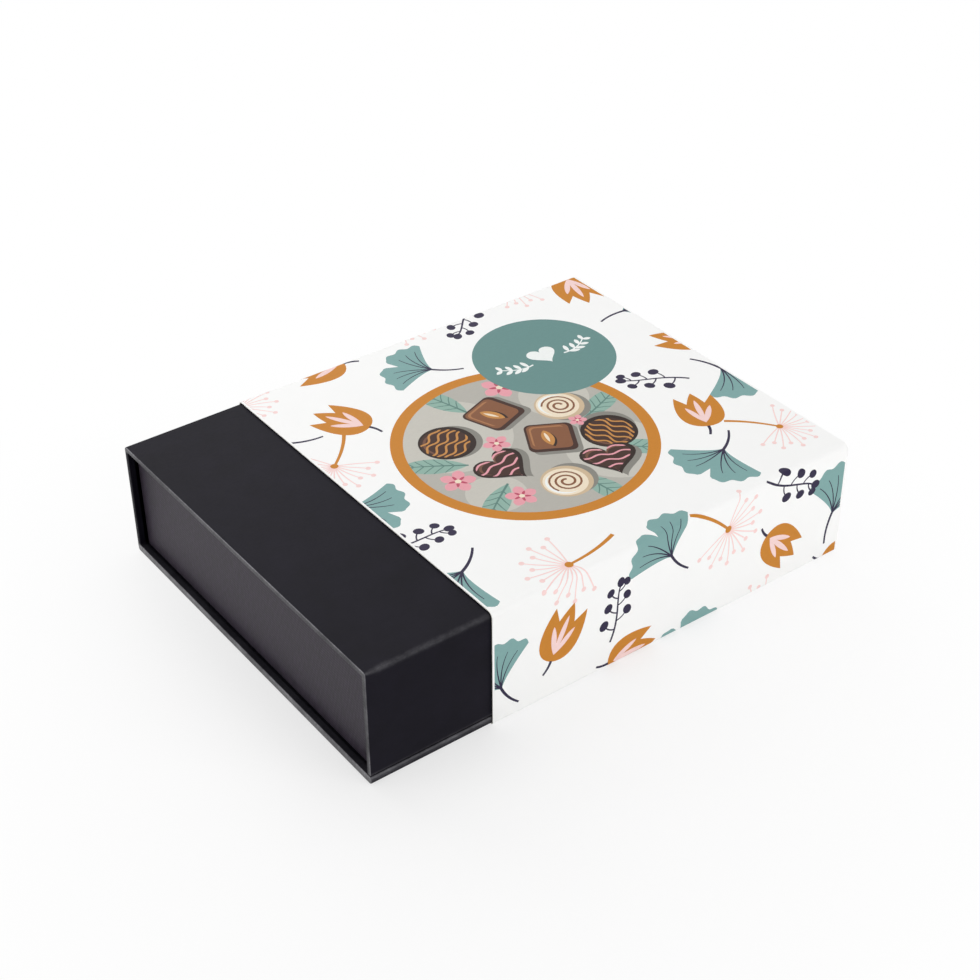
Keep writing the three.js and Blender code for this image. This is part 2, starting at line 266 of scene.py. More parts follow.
def piped_lines_group():
    """Thin wavy lines, as piped over a chocolate: where they lie on a plane place in millimetres."""
    inputs = {"Place": None, "Spacing": 3.6, "Swing": 1.1, "Wave": 0.8, "Fill": 0.3}
    tree, start, end = new_group("piped_lines", inputs, ("Mask",))
    parts = wire(tree, "ShaderNodeSeparateXYZ", {0: start["Place"]})
    wave = maths(tree, "SINE", maths(tree, "MULTIPLY", parts["X"], start["Wave"]))
    across = maths(tree, "MULTIPLY_ADD", wave, start["Swing"], parts["Y"])
    to_line = maths(tree, "PINGPONG", across, start["Spacing"])
    half_line = maths(tree, "MULTIPLY", start["Spacing"], start["Fill"])
    edge = maths(tree, "MULTIPLY", half_line, 0.6)
    feed(tree, end, {"Mask": spread(tree, to_line, edge, half_line, 1.0, 0.0, "SMOOTHSTEP")})
    return tree


def round_spot_group():
    """A round spot in the middle of a plane place in millimetres."""
    inputs = {"Place": None, "Radius": 4.0, "Soft": 0.2}
    tree, start, end = new_group("round_spot", inputs, ("Mask",))
    out = vector_maths(tree, "LENGTH", {0: start["Place"]}, "Value")
    outer = maths(tree, "ADD", start["Radius"], start["Soft"])
    feed(tree, end, {"Mask": spread(tree, out, start["Radius"], outer, 1.0, 0.0, "SMOOTHSTEP")})
    return tree


groups = {
    "paper": paper_group(),
    "tint": tint_group(),
    "linen": linen_group(),
    "piped_lines": piped_lines_group(),
    "round_spot": round_spot_group(),
}


def grouped(tree, name, values):
    """Places one of the node groups in a material, and gives its outputs."""
    return wire(tree, "ShaderNodeGroup", values, node_tree=groups[name])


def new_material(name, roughness, specular=0.5, metallic=0.0):
    """A material with its shader's inputs, and its object coordinates."""
    material = bpy.data.materials.new(name)
    material.use_nodes = True
    tree = material.node_tree
    shader = tree.nodes["Principled BSDF"].inputs
    finish = {"Roughness": roughness, "Specular IOR Level": specular, "Metallic": metallic}
    feed(tree, shader, finish)
    return material, tree, shader, wire(tree, "ShaderNodeTexCoord")["Object"]


def tinted(tree, shader, value, base, amount):
    """The base colour, made uneven by a value."""
    tint = grouped(tree, "tint", {"Colour": base, "Value": value, "Amount": amount})
    feed(tree, shader, {"Base Color": tint["Colour"]})


def bumped(tree, shader, height, depth):
    """A bump of a real depth in millimetres."""
    values = {"Height": height, "Strength": 1.0, "Distance": depth * MILLIMETRE}
    feed(tree, shader, {"Normal": wire(tree, "ShaderNodeBump", values)["Normal"]})


def uneven_roughness(tree, shader, value, low, high):
    """A roughness between two limits, by a value."""
    feed(tree, shader, {"Roughness": spread(tree, value, 0.0, 1.0, low, high)})


def paper_material(name, base, roughness, specular, uneven, depth, cloud=90.0, fibre=1400.0):
    """Plain paper or card, cloudy in its colour and a little uneven in its roughness."""
    swing = 0.06
    material, tree, shader, place = new_material(name, roughness, specular)
    paper = grouped(tree, "paper", {"Place": place, "Cloud Size": cloud, "Fibre Size": fibre})
    tinted(tree, shader, paper["Cloud"], base, uneven)
    bumped(tree, shader, paper["Height"], depth)
    uneven_roughness(tree, shader, paper["Fibre"], roughness - swing, roughness + swing)
    return material


def fibrous_material(name, base, roughness, specular, uneven, depth, cloud, fibre, share):
    """Paper, board or ink whose fibres show in its colour."""
    material, tree, shader, place = new_material(name, roughness, specular)
    sizes = {"Cloud Size": cloud, "Fibre Size": fibre, "Fibre Share": share}
    paper = grouped(tree, "paper", {"Place": place, **sizes})
    tinted(tree, shader, paper["Fibre"], base, uneven)
    bumped(tree, shader, paper["Height"], depth)
    return material


# The values at the case cover's points that its paper reads: rubbed wear mixed with painted highlight, and
# gloss.
WEAR_AND_HIGHLIGHT, GLOSS = "edge_wear_and_highlight", "edge_gloss"


def black_paper():
    """Matte black cover paper, rubbed grey and lightened by painted highlights along its edges and folds,
    and pressed smooth where it is drawn over the boards.
    """
    material, tree, shader, place = new_material("black_paper", roughness=0.5, specular=0.06)
    sizes = {"Cloud Size": 60.0, "Fibre Size": 1600.0, "Fibre Share": 0.6}
    paper = grouped(tree, "paper", {"Place": place, **sizes})
    patches = spread(tree, paper["Cloud"], low=0.38, high=0.62, start=0.6)
    specks = spread(tree, paper["Fibre"], low=0.3, high=0.7, start=0.6)
    break_up = maths(tree, "MULTIPLY", patches, specks)
    worn_and_lit, pressed = (
        maths(tree, "MULTIPLY", wire(tree, "ShaderNodeAttribute", attribute_name=mark)["Fac"], break_up)
        for mark in (WEAR_AND_HIGHLIGHT, GLOSS)
    )
    # The edge mark mixes in a pale grey that is partly rubbed paper and partly painted highlight.
    rubbed_and_lit = mixed_colour(tree, worn_and_lit, colour("110f18"), colour("a9a8ad"))
    tinted(tree, shader, paper["Cloud"], rubbed_and_lit, amount=1.1)
    bumped(tree, shader, paper["Height"], depth=0.03)
    uneven_roughness(tree, shader, paper["Fibre"], low=0.42, high=0.56)
    feed(tree, shader, {"Coat Weight": pressed, "Coat Roughness": 0.3})
    return material


def linen_paper():
    """Black paper with a fine linen emboss, on the tray's walls."""
    material, tree, shader, place = new_material("linen_paper", roughness=0.55, specular=0.2)
    linen = grouped(tree, "linen", {"Place": place})
    tinted(tree, shader, linen["Slub"], colour("2a242e"), amount=2.0)
    bumped(tree, shader, linen["Height"], depth=0.12)
    uneven_roughness(tree, shader, linen["Slub"], low=0.42, high=0.58)
    return material


def ink(name, base):
    """Ink on the card: the card's surface shows through it, and it lies a little uneven."""
    look = dict(roughness=0.46, specular=0.14, uneven=0.14, depth=0.012)
    return fibrous_material(name, base, **look, cloud=220.0, fibre=1800.0, share=0.5)


def greyboard():
    """Grey recycled board, with darker and paler specks."""
    look = dict(roughness=0.85, specular=0.2, uneven=0.6, depth=0.06)
    return fibrous_material("greyboard", colour("8f8a80"), **look, cloud=300.0, fibre=2200.0, share=0.7)


def metal(name, base, roughness, streaks):
    """Metal with a fine grain, drawn out along X where the streaks' scale is small."""
    material, tree, shader, place = new_material(name, roughness, metallic=1.0)
    grain = noise(tree, stretched(tree, place, (streaks, 1.0, 1.0)), 900.0, Detail=4.0)[0]
    tinted(tree, shader, grain, base, amount=0.2)
    uneven_roughness(tree, shader, grain, roughness - 0.08, roughness + 0.1)
    bumped(tree, shader, grain, depth=0.004)
    return material


def formed_plastic():
    """Thin gold-coloured sheet, a little wavy from its forming."""
    material, tree, shader, place = new_material("insert_plastic", roughness=0.25)
    waves = noise(tree, place, 120.0, Detail=3.0)[0]
    tinted(tree, shader, waves, colour("a87f3f"), amount=0.15)
    uneven_roughness(tree, shader, waves, low=0.18, high=0.34)
    bumped(tree, shader, waves, depth=0.05)
    return material


def chocolate_material(name, base, topping, cover, depth):
    """Set chocolate with a satin skin, and a topping where the cover's mask is.

    The cover is a node group with its values, and lies on the praline's own place.
    """
    material, tree, shader, place = new_material(name, roughness=0.35)
    flow = noise(tree, place, 260.0, Detail=5.0, Distortion=1.2)[0]
    own_place = wire(tree, "ShaderNodeUVMap", uv_map="own_place")["UV"]
    kind, values = cover
    mask = grouped(tree, kind, {"Place": own_place, **values})["Mask"]
    tinted(tree, shader, flow, mixed_colour(tree, mask, base, topping), amount=0.35)
    uneven_roughness(tree, shader, flow, low=0.28, high=0.45)
    flow_share = 0.15
    height = maths(tree, "ADD", maths(tree, "MULTIPLY", flow, flow_share), mask)
    bumped(tree, shader, height, depth)
    return material


# The sleeve: one blank of card, drawn flat and then folded.

SLEEVE_HALF = sleeve_high.y
SLEEVE_TOP = sleeve_high.z
GROWN = SLEEVE_CLEARANCE + CARD
PRINT_MARGIN = 1.0


def flat(start, end, normal):
    """A flat panel: its length, its steps, and the place and normal along it."""
    length = math.dist(start, end)

    def place(t):
        return tuple(a + (b - a) * t / length for a, b in zip(start, end)), normal

    return length, 1, place


def fold(centre, radius, begin):
    """A quarter turn clockwise, from the angle it begins at."""

    def place(t):
        angle = begin - t / radius
        normal = (math.cos(angle), math.sin(angle))
        return (centre[0] + radius * normal[0], centre[1] + radius * normal[1]), normal

    return radius * QUARTER, FOLD_STEPS, place


def sleeve_path():
    """The outer face of the folded blank, from its glue flap to the back panel's lower edge."""
    flap_y = SLEEVE_HALF - CARD - SLACK
    back, front = SPINE_FOLD + GROWN, SLEEVE_FOLD + GROWN
    foot = BASE_EDGE + SLEEVE_CLEARANCE_BELOW + CARD
    seam, stops_short = SPINE_FOLD + SLEEVE_CLEARANCE_BELOW, 0.3
    return [
        flat((flap_y, seam + GLUE_FLAP), (flap_y, seam), (1, 0)),
        fold((flap_y - seam, seam), seam, 0.0),
        flat((flap_y - seam, 0), (foot - SLEEVE_HALF, 0), (0, -1)),
        fold((foot - SLEEVE_HALF, foot), foot, -QUARTER),
        flat((-SLEEVE_HALF, foot), (-SLEEVE_HALF, SLEEVE_TOP - front), (-1, 0)),
        fold((front - SLEEVE_HALF, SLEEVE_TOP - front), front, math.pi),
        flat((front - SLEEVE_HALF, SLEEVE_TOP), (SLEEVE_HALF - back, SLEEVE_TOP), (0, 1)),
        fold((SLEEVE_HALF - back, SLEEVE_TOP - back), back, QUARTER),
        flat((SLEEVE_HALF, SLEEVE_TOP - back), (SLEEVE_HALF, seam + stops_short), (1, 0)),
    ]


# The path's fold by the glue flap, over which the card grows to its full thickness, and its top panel.
SEAM_PART = 1
TOP_PART = 6


class Blank:
    """The unfolded blank: u runs along the sleeve from its near end, v across the panels.

    On the top panel v is the sleeve's own Y, so the print is laid out as it is seen from above.
    """

    def __init__(self):
        self.parts = []
        run = 0.0
        for length, steps, place in sleeve_path():
            self.parts.append((run, length, steps, place))
            run += length
        top = self.parts[TOP_PART]
        shift = top[3](0)[0][0] - top[0]
        self.parts = [(begin + shift, *rest) for begin, *rest in self.parts]
        self.low = self.parts[0][0]
        self.high = self.parts[-1][0] + self.parts[-1][1]
        self.length = sleeve_high.x - sleeve_low.x
        self.printed_from = self.parts[SEAM_PART][0]

    def lines(self):
        """Every v at which the folded blank turns, ends included."""
        found = [self.low]
        for begin, length, steps, _ in self.parts:
            found += [begin + length * (i + 1) / steps for i in range(steps)]
        return found

    def at(self, v):
        """The outer point, the normal and the card's thickness at v."""
        for begin, length, _, place in self.parts:
            if v <= begin + length + HAIR or begin == self.parts[-1][0]:
                point, normal = place(min(max(v - begin, 0.0), length))
                break
        seam_begin, seam_length = self.parts[SEAM_PART][:2]
        share = min(max((v - seam_begin) / seam_length, 0.0), 1.0)
        return point, normal, GLUE_FLAP_CARD + (CARD - GLUE_FLAP_CARD) * share

    def outer(self, u, v):
        point, _, _ = self.at(v)
        return (sleeve_low.x + u, *point)

    def inner(self, u, v):
        point, normal, card = self.at(v)
        return (sleeve_low.x + u, point[0] - normal[0] * card, point[1] - normal[1] * card)

    def normal(self, v, middle):
        """The normal at v, as the panel or fold that holds a face's middle has it."""
        for begin, length, _, _ in self.parts:
            if begin <= middle <= begin + length:
                v = min(max(v, begin + HAIR), begin + length - HAIR)
                break
        return (0.0, *self.at(v)[1])


# The print: plain shapes, each a closed outline with the ink that fills it.


class Print:
    """Outlines in the blank's plane. A later one covers an earlier one."""

    def __init__(self):
        self.shapes = []

    def add(self, outline, ink_name, inside=None):
        """Adds an outline. With inside, it shows only within that earlier shape."""
        self.shapes.append((outline, ink_name, inside))
        return len(self.shapes) - 1

    def motif(self, parts, place, angle, size=1.0, inside=None):
        """Adds a motif at a place, turned and sized. A part may name the part that it lies within."""
        added = []
        for outline, ink_name, *own in parts:
            moved = [turned((x * size, y * size), angle) for x, y in outline]
            moved = [(x + place[0], y + place[1]) for x, y in moved]
            added.append(self.add(moved, ink_name, added[own[0]] if own else inside))


def ring(radius, count=24, centre=(0.0, 0.0), squash=1.0, angle=0.0):
    """A closed round or oval outline."""
    found = []
    for i in range(count):
        a = math.tau * i / count
        x, y = turned((radius * math.cos(a), radius * squash * math.sin(a)), angle)
        found.append((centre[0] + x, centre[1] + y))
    return found


def curve(points, count=14):
    """A smooth line through three or four guide points, by repeated division of their spans."""
    found = []
    for i in range(count + 1):
        t = i / count
        row = list(points)
        while len(row) > 1:
            row = [(a[0] + (b[0] - a[0]) * t, a[1] + (b[1] - a[1]) * t) for a, b in zip(row, row[1:])]
        found.append(row[0])
    return found


def ribbon(line, wide, narrow):
    """A stroke along a line, from its wide start to its narrow end."""
    left, right = [], []
    last = len(line) - 1
    for i, (x, y) in enumerate(line):
        before, after = line[max(i - 1, 0)], line[min(i + 1, last)]
        dx, dy = after[0] - before[0], after[1] - before[1]
        size = math.hypot(dx, dy) or 1.0
        half = (wide + (narrow - wide) * i / last) / 2
        left.append((x - dy / size * half, y + dx / size * half))
        right.append((x + dy / size * half, y - dx / size * half))
    return left + right[::-1]


def stroke(guides, count, wide, narrow):
    """A stroke along the smooth line through its guide points."""
    return ribbon(curve(guides, count), wide, narrow)


def both_sides(left):
    """A closed outline from its left half, which starts and ends on the middle line."""
    return left + [(-x, y) for x, y in left[-2:0:-1]]


def petal(length, width, belly=0.45):
    """A leaf or petal from the origin up along +Y, pointed at both ends."""
    guides = [(0, 0), (-width, length * belly), (-width * 0.45, length * 0.9), (0, length)]
    return both_sides(curve(guides, 12))


def shifted(outline, dx, dy, angle=0.0):
    """An outline turned about the origin and then moved."""
    moved = [turned(p, angle) for p in outline]
    return [(x + dx, y + dy) for x, y in moved]


def fan_leaf():
    """A notched fan-shaped leaf on a curved stalk, with veins that spread from its foot."""
    spread_angle, reach, drop, steps = math.radians(64), 27.0, 6.0, 48
    edge = []
    for i in range(steps + 1):
        share = i / steps * 2 - 1
        angle = share * spread_angle
        notch = 0.36 * math.exp(-((share / 0.07) ** 2))
        scallop = 0.035 * math.cos(share * 21)
        radius = reach * (0.93 + scallop - notch + 0.05 * (1 - share * share))
        edge.append((radius * math.sin(angle), radius * math.cos(angle)))
    side = curve([edge[-1], (8.5, 6.0), (2.2, 2.4), (0.6, 0.0)], 10)
    outline = edge + side[1:] + [(-x, y) for x, y in side[-1:0:-1]]
    parts = [([(x, y - drop) for x, y in outline], "teal")]
    for share in (-0.82, -0.56, -0.3, 0.3, 0.56, 0.82):
        angle = share * spread_angle
        tip = (reach * 0.74 * math.sin(angle), reach * 0.74 * math.cos(angle) - drop)
        guides = [(0, -drop), (tip[0] * 0.35, tip[1] * 0.6 - 1.0), tip]
        parts.append((stroke(guides, 8, 0.8, 0.35), "navy", 0))
    parts.append((stroke([(0, -5.0), (-0.6, -14.0), (3.4, -22.0)], 10, 1.5, 1.1), "navy"))
    return parts


def bud():
    """A cup-shaped flower of three pointed petals, with pale strokes in it."""
    side = curve([(0, -13.0), (-14.5, -12.0), (-12.5, 4.0), (-9.5, 14.0)], 14)
    dip = curve([(-9.5, 14.0), (-6.5, 10.0), (-4.6, 7.5)], 6)
    peak = curve([(-4.6, 7.5), (-2.6, 13.0), (0, 17.0)], 6)
    parts = [(both_sides(side + dip[1:] + peak[1:]), "ochre")]
    for tilt, length in ((0.0, 20.0), (0.42, 15.5), (-0.42, 15.5)):
        parts.append((shifted(petal(length, 2.6), 0, -9.5, tilt), "pink", 0))
    parts.append((stroke([(0, -12.6), (0.4, -16.0), (-1.4, -20.0)], 6, 1.6, 1.2), "navy"))
    return parts


def berry_sprig():
    """A stem with round berries on short stalks, one at its tip."""
    stem = curve([(-2.5, -17.5), (2.6, -5.0), (-1.5, 6.0), (0.8, 14.0)], 22)
    parts = [(ribbon(stem, 1.2, 0.8), "navy")]
    for i, index in enumerate((4, 7, 10, 13, 16, 19)):
        side = 1 if i % 2 else -1
        x, y = stem[index]
        reach = 6.6 - i * 0.45
        tip = (x + side * reach, y + 4.4)
        guides = [(x, y), (x + side * reach * 0.6, y + 0.6), tip]
        parts.append((stroke(guides, 6, 0.8, 0.7), "navy"))
        parts.append((ring(2.5 - i * 0.1, 18, tip, 1.18, 0.5 * side), "navy"))
    parts.append((ring(2.2, 18, (stem[-1][0], stem[-1][1] + 1.6), 1.25), "navy"))
    return parts


def seed_head():
    """Thin pale rays with dots at their ends, on a plain stem."""
    parts = []
    rays, heart_y = 15, 3.0
    for i in range(rays):
        angle = math.radians(-108 + 216 * i / (rays - 1))
        reach = (19.5, 15.5)[i % 2]
        tip = (reach * math.sin(angle), heart_y + reach * math.cos(angle))
        middle = (tip[0] * 0.45, heart_y + (tip[1] - heart_y) * 0.62)
        parts.append((stroke([(0, heart_y), middle, tip], 6, 0.75, 0.6), "pink"))
        parts.append((ring(1.25, 12, tip), "pink"))
    parts.append((stroke([(1.8, -25.0), (-1.6, -12.0), (0.0, heart_y)], 14, 1.9, 1.3), "ochre"))
    parts.append((ring(1.9, 16, (0, heart_y)), "ochre"))
    return parts


def heart(size):
    """A heart outline of about the given width, by the usual curve, which is 32 wide."""
    count, raised = 40, 2.5
    found = []
    for i in range(count):
        t = math.tau * i / count
        x = 16 * math.sin(t) ** 3
        y = 13 * math.cos(t) - 5 * math.cos(2 * t) - 2 * math.cos(3 * t) - math.cos(4 * t)
        found.append((-x * size / 32, (y + raised) * size / 32))
    return found


def rounded_square(half, radius):
    """A square outline round the origin with round corners."""
    steps = 5
    found = []
    for quarter in range(4):
        cx, cy = turned((half - radius, half - radius), quarter * QUARTER)
        for turn in quarter_arc(steps):
            angle = quarter * QUARTER + turn
            found.append((cx + radius * math.cos(angle), cy + radius * math.sin(angle)))
    return found


# In a praline's parts, those that others lie within.
PRALINE_SIDE, PRALINE_TOP = 1, 2


def wavy_lines(half, count, ink_name, wave):
    """Strokes of poured chocolate across the top of a praline, a little over its width."""
    steps, over, bend, shift, thick = 18, 1.1, 0.55, 1.3, 1.1
    across = [(-over + 2 * over * k / steps) * half for k in range(steps + 1)]
    parts = []
    for i in range(count):
        y = -half + 2 * half * (i + 0.5) / count
        line = [(x, y + wave * math.sin(x * bend + i * shift)) for x in across]
        parts.append((ribbon(line, thick, thick), ink_name, PRALINE_TOP))
    return parts


def praline(outline, body, top, gleam, extras):
    """A praline from above: its shadow, its side, its top and a gleam along one edge."""

    def smaller(share, dx, dy):
        return [(x * share + dx, y * share + dy) for x, y in outline]

    return [
        (shifted(outline, 2.0, -2.4), "stone_shade"),
        (outline, body),
        (smaller(0.86, -0.5, 0.7), top, PRALINE_SIDE),
        (smaller(0.72, -1.0, 1.3), gleam, PRALINE_SIDE),
        (smaller(0.72, -0.1, 0.2), top, PRALINE_SIDE),
        *extras,
    ]


def round_praline():
    lines = wavy_lines(11, 6, "caramel", 1.2)
    return praline(ring(13.5, 44), "cocoa_deep", "cocoa", "cocoa_gleam", lines)


def square_praline():
    nut = [
        (shifted(petal(13, 5.0, 0.4), 0.9, -7.6, 0.2), "cocoa_deep"),
        (shifted(petal(13, 5.0, 0.4), 0, -6.6, 0.2), "caramel"),
        (shifted(petal(8, 1.4, 0.4), -0.9, -3.6, 0.2), "cream"),
    ]
    return praline(rounded_square(11.5, 3.5), "cocoa", "milk", "milk_gleam", nut)


def pale_praline():
    steps, start, grown, turn = 46, 1.5, 7.0, 0.33
    radii = [start + grown * k / steps for k in range(steps + 1)]
    spiral = [(r * math.cos(k * turn), r * math.sin(k * turn)) for k, r in enumerate(radii)]
    swirl = [(ribbon(spiral, 1.3, 0.9), "milk", PRALINE_TOP)]
    return praline(ring(12.0, 40), "cream_shade", "cream", "white", swirl)


def heart_praline():
    lines = wavy_lines(12, 5, "blossom", 0.8)
    return praline(heart(27), "cocoa_deep", "cocoa", "cocoa_gleam", lines)


def blossom():
    """Five broad petals with a narrow one between each two, and a round middle."""
    fifth = math.tau / 5
    parts = [(shifted(petal(8.5, 5.2, 0.6), 0, 0, fifth * i), "blossom") for i in range(5)]
    parts += [(shifted(petal(4.6, 1.3), 0, 0, fifth * (i + 0.5)), "blossom_deep") for i in range(5)]
    return [*parts, (ring(1.5, 14), "cream")]


def sage_leaf():
    """A pointed leaf with its veins."""
    parts = [(shifted(petal(30, 10.0), 0, -15), "sage")]
    parts.append((stroke([(0, -15), (0.8, 0), (0, 14)], 10, 1.1, 0.5), "sage_deep"))
    for i in range(5):
        y = -9.0 + i * 4.4
        for side in (-1, 1):
            vein = [(0.3, y), (side * 3.2, y + 3.0), (side * 6.2, y + 5.2)]
            parts.append((ribbon(vein, 0.6, 0.4), "sage_deep", 0))
    return parts


RING_CENTRE = (87.9, -8.6)
RING_OUTER = 62.4
RING_INNER = 56.4
DISC_CENTRE = (141.3, 45.6)
DISC_RADIUS = 35.7

# The picture in the ring, each row from the ring's centre: pale rounds as (radius, x, y),
# leaves and pralines with their angle, and blossoms with their size.
PALE_ROUNDS = ((30, -26, 24), (24, 30, -30), (17, 34, 22), (14, -36, -26))
LEAVES = ((-46, 8, 1.0), (-40, -32, 2.2), (40, -36, -2.3), (48, 4, -1.2), (-12, 50, 0.3), (6, -52, 3.3))
PICTURED = (
    (round_praline, -30, 20, 0.5),
    (square_praline, 2, 27, 0.35),
    (pale_praline, 31, 14, 0.0),
    (heart_praline, -20, -12, 0.25),
    (square_praline, 11, -5, -0.5),
    (round_praline, 36, -17, 2.0),
    (pale_praline, -5, -37, 1.0),
    (heart_praline, 22, -36, -0.3),
)
BLOSSOMS = ((-44, -8, 1.0), (-12, 6, 0.8), (18, 44, 1.1), (-28, -34, 0.9), (46, 30, 0.9), (30, -1, 0.55))


def emblem():
    """A plain heart between two sprigs."""
    parts = [(heart(13), "white")]
    for side in (-1, 1):
        stem = curve([(side * 8, -3.0), (side * 15, -4.5), (side * 22, 2.0)], 12)
        parts.append((ribbon(stem, 0.8, 0.5), "white"))
        for i in (2, 5, 8, 11):
            for tilt in (0.2, 1.9):
                parts.append((shifted(petal(5.4 - i * 0.15, 1.7), *stem[i], -side * tilt), "white"))
    return parts


def medallion(printed):
    """The round frame, with a picture of pralines in it, and the plain disc that overlaps it."""
    cx, cy = RING_CENTRE
    printed.add(ring(RING_OUTER, 160, RING_CENTRE), "ochre")
    window = printed.add(ring(RING_INNER, 160, RING_CENTRE), "stone")
    for radius, x, y in PALE_ROUNDS:
        printed.add(ring(radius, 40, (cx + x, cy + y)), "stone_light", window)
    for x, y, angle in LEAVES:
        printed.motif(sage_leaf(), (cx + x, cy + y), angle, 1.05, window)
    for make, x, y, angle in PICTURED:
        printed.motif(make(), (cx + x, cy + y), angle, 1.0, window)
    for x, y, size in BLOSSOMS:
        printed.motif(blossom(), (cx + x, cy + y), x * 0.1, size, window)
    printed.add(ring(DISC_RADIUS, 120, DISC_CENTRE), "teal_deep")
    printed.motif(emblem(), DISC_CENTRE, 0.0, 1.2)


# Each motif of the pattern: its parts, how many are tried for, how far its like keep apart,
# and the rounds (x, y, radius) that it needs for itself.
MOTIFS = (
    (fan_leaf, 26, 62.0, ((0.0, 7.0, 18.5), (1.0, -16.0, 5.0))),
    (seed_head, 22, 60.0, ((0.0, 6.0, 18.0), (0.0, -17.0, 3.5))),
    (bud, 26, 48.0, ((0.0, 2.0, 12.5), (0.0, -14.0, 5.0))),
    (berry_sprig, 70, 30.0, ((0.0, 9.0, 7.5), (0.0, -2.0, 8.5), (-1.5, -14.0, 4.0))),
)
SEED = 7
TRIES = 1500


def scatter(printed, blank):
    """Strews the motifs over the whole blank, the large ones first, each where it has room."""
    chance = random.Random(SEED)
    gap, edge = 2.4, 6.0
    smallest, largest = 0.92, 1.04
    taken = [(*RING_CENTRE, RING_OUTER + gap), (*DISC_CENTRE, DISC_RADIUS + gap)]
    for make, most, apart, rounds in MOTIFS:
        alike = []
        for _ in range(TRIES):
            place = (
                chance.uniform(-edge, blank.length + edge),
                chance.uniform(blank.printed_from - edge, blank.high + edge),
            )
            angle, size = chance.uniform(0, math.tau), chance.uniform(smallest, largest)
            if len(alike) >= most or any(math.dist(place, other) < apart for other in alike):
                continue
            wanted = []
            for x, y, radius in rounds:
                dx, dy = turned((x * size, y * size), angle)
                wanted.append((place[0] + dx, place[1] + dy, radius * size))
            clear = all(
                math.hypot(x - ox, y - oy) > radius + other + gap / 2
                for x, y, radius in wanted
                for ox, oy, other in taken
            )
            if clear:
                alike.append(place)
                taken += wanted
                printed.motif(make(), place, angle, size)


def area_of(outline):
    """The area in an outline, above zero if it turns anticlockwise."""
    return sum(a[0] * b[1] - b[0] * a[1] for a, b in zip(outline, outline[1:] + outline[:1])) / 2


def clipped(outline, window):
    """The part of an outline that lies in a window, given as its low and high u and v."""
    for axis, sign, limit in zip((0, 1, 0, 1), (1, 1, -1, -1), window):
        kept = []
        for a, b in zip(outline, outline[1:] + outline[:1]):
            da, db = sign * (a[axis] - limit), sign * (b[axis] - limit)
            if da >= 0:
                kept.append(a)
            if (da < 0) != (db < 0):
                t = da / (da - db)
                kept.append((a[0] + (b[0] - a[0]) * t, a[1] + (b[1] - a[1]) * t))
        outline = kept
    return outline


def cut_blank(blank, printed):
    """Cuts the blank into triangles along its fold lines and every outline of the print.

    Gives the points, the triangles and the name of the ink on each triangle.
    """
    least_area, merged_within = 1e-3, 1e-5
    points, edges, faces = [], [], []

    def outline_face(outline):
        first = len(points)
        points.extend(Vector(p) for p in (outline if area_of(outline) > 0 else outline[::-1]))
        faces.append(list(range(first, len(points))))

    def rectangle(x0, y0, x1, y1):
        outline_face([(x0, y0), (x1, y0), (x1, y1), (x0, y1)])

    length, margin = blank.length, PRINT_MARGIN
    window = (margin, blank.printed_from, length - margin, blank.high - margin)
    rectangle(0, blank.low, length, blank.high)
    rectangle(*window)
    kept, face_of = {}, {}
    for index, (outline, ink_name, inside) in enumerate(printed.shapes):
        shown = clipped(outline, window)
        if len(shown) > 2 and abs(area_of(shown)) > least_area:
            face_of[index] = len(faces)
            kept[len(faces)] = (ink_name, inside)
            outline_face(shown)
    for v in blank.lines()[1:-1]:
        edges.append((len(points), len(points) + 1))
        points.extend([Vector((0, v)), Vector((length, v))])
    cut = delaunay_2d_cdt(points, edges, faces, KEEP_ALL, merged_within)
    found, _, triangles, _, _, origins = cut

    def shows(face, covers):
        """True if every shape that this one must lie within is there too."""
        outer = kept[face][1]
        return outer is None or (face_of.get(outer) in covers and shows(face_of[outer], covers))

    def ink_on(covers):
        """The ink of the last shape that shows, or the bare card. Faces 0 and 1 are no shapes."""
        if 1 in covers:
            for face in sorted(covers, reverse=True):
                if face > 1 and shows(face, covers):
                    return kept[face][0]
        return "card"

    on_blank = [(list(t), set(origin)) for t, origin in zip(triangles, origins) if 0 in origin]
    return found, [t for t, _ in on_blank], [ink_on(covers) for _, covers in on_blank]


INKS = {
    "ochre": "c7812b",
    "teal": "7fa6a4",
    "teal_deep": "668c89",
    "navy": "2b243f",
    "pink": "f5d5d2",
    "white": "f1f4f2",
    "stone": "b4b1a9",
    "stone_light": "c6c3ba",
    "stone_shade": "86847d",
    "sage": "8fb0a4",
    "sage_deep": "5f827a",
    "cocoa": "3c241c",
    "cocoa_deep": "24150f",
    "cocoa_gleam": "6e4a3a",
    "milk": "82553a",
    "milk_gleam": "a9764f",
    "caramel": "c48a4b",
    "cream": "efe0c8",
    "cream_shade": "cdb697",
    "blossom": "e6a0aa",
    "blossom_deep": "bb4f66",
}


CARD_LOOK = dict(roughness=0.5, specular=0.3, uneven=0.02, depth=0.012)
CUT_CARD_LOOK = dict(roughness=0.8, specular=0.2, uneven=0.12, depth=0.05, cloud=400.0, fibre=2400.0)


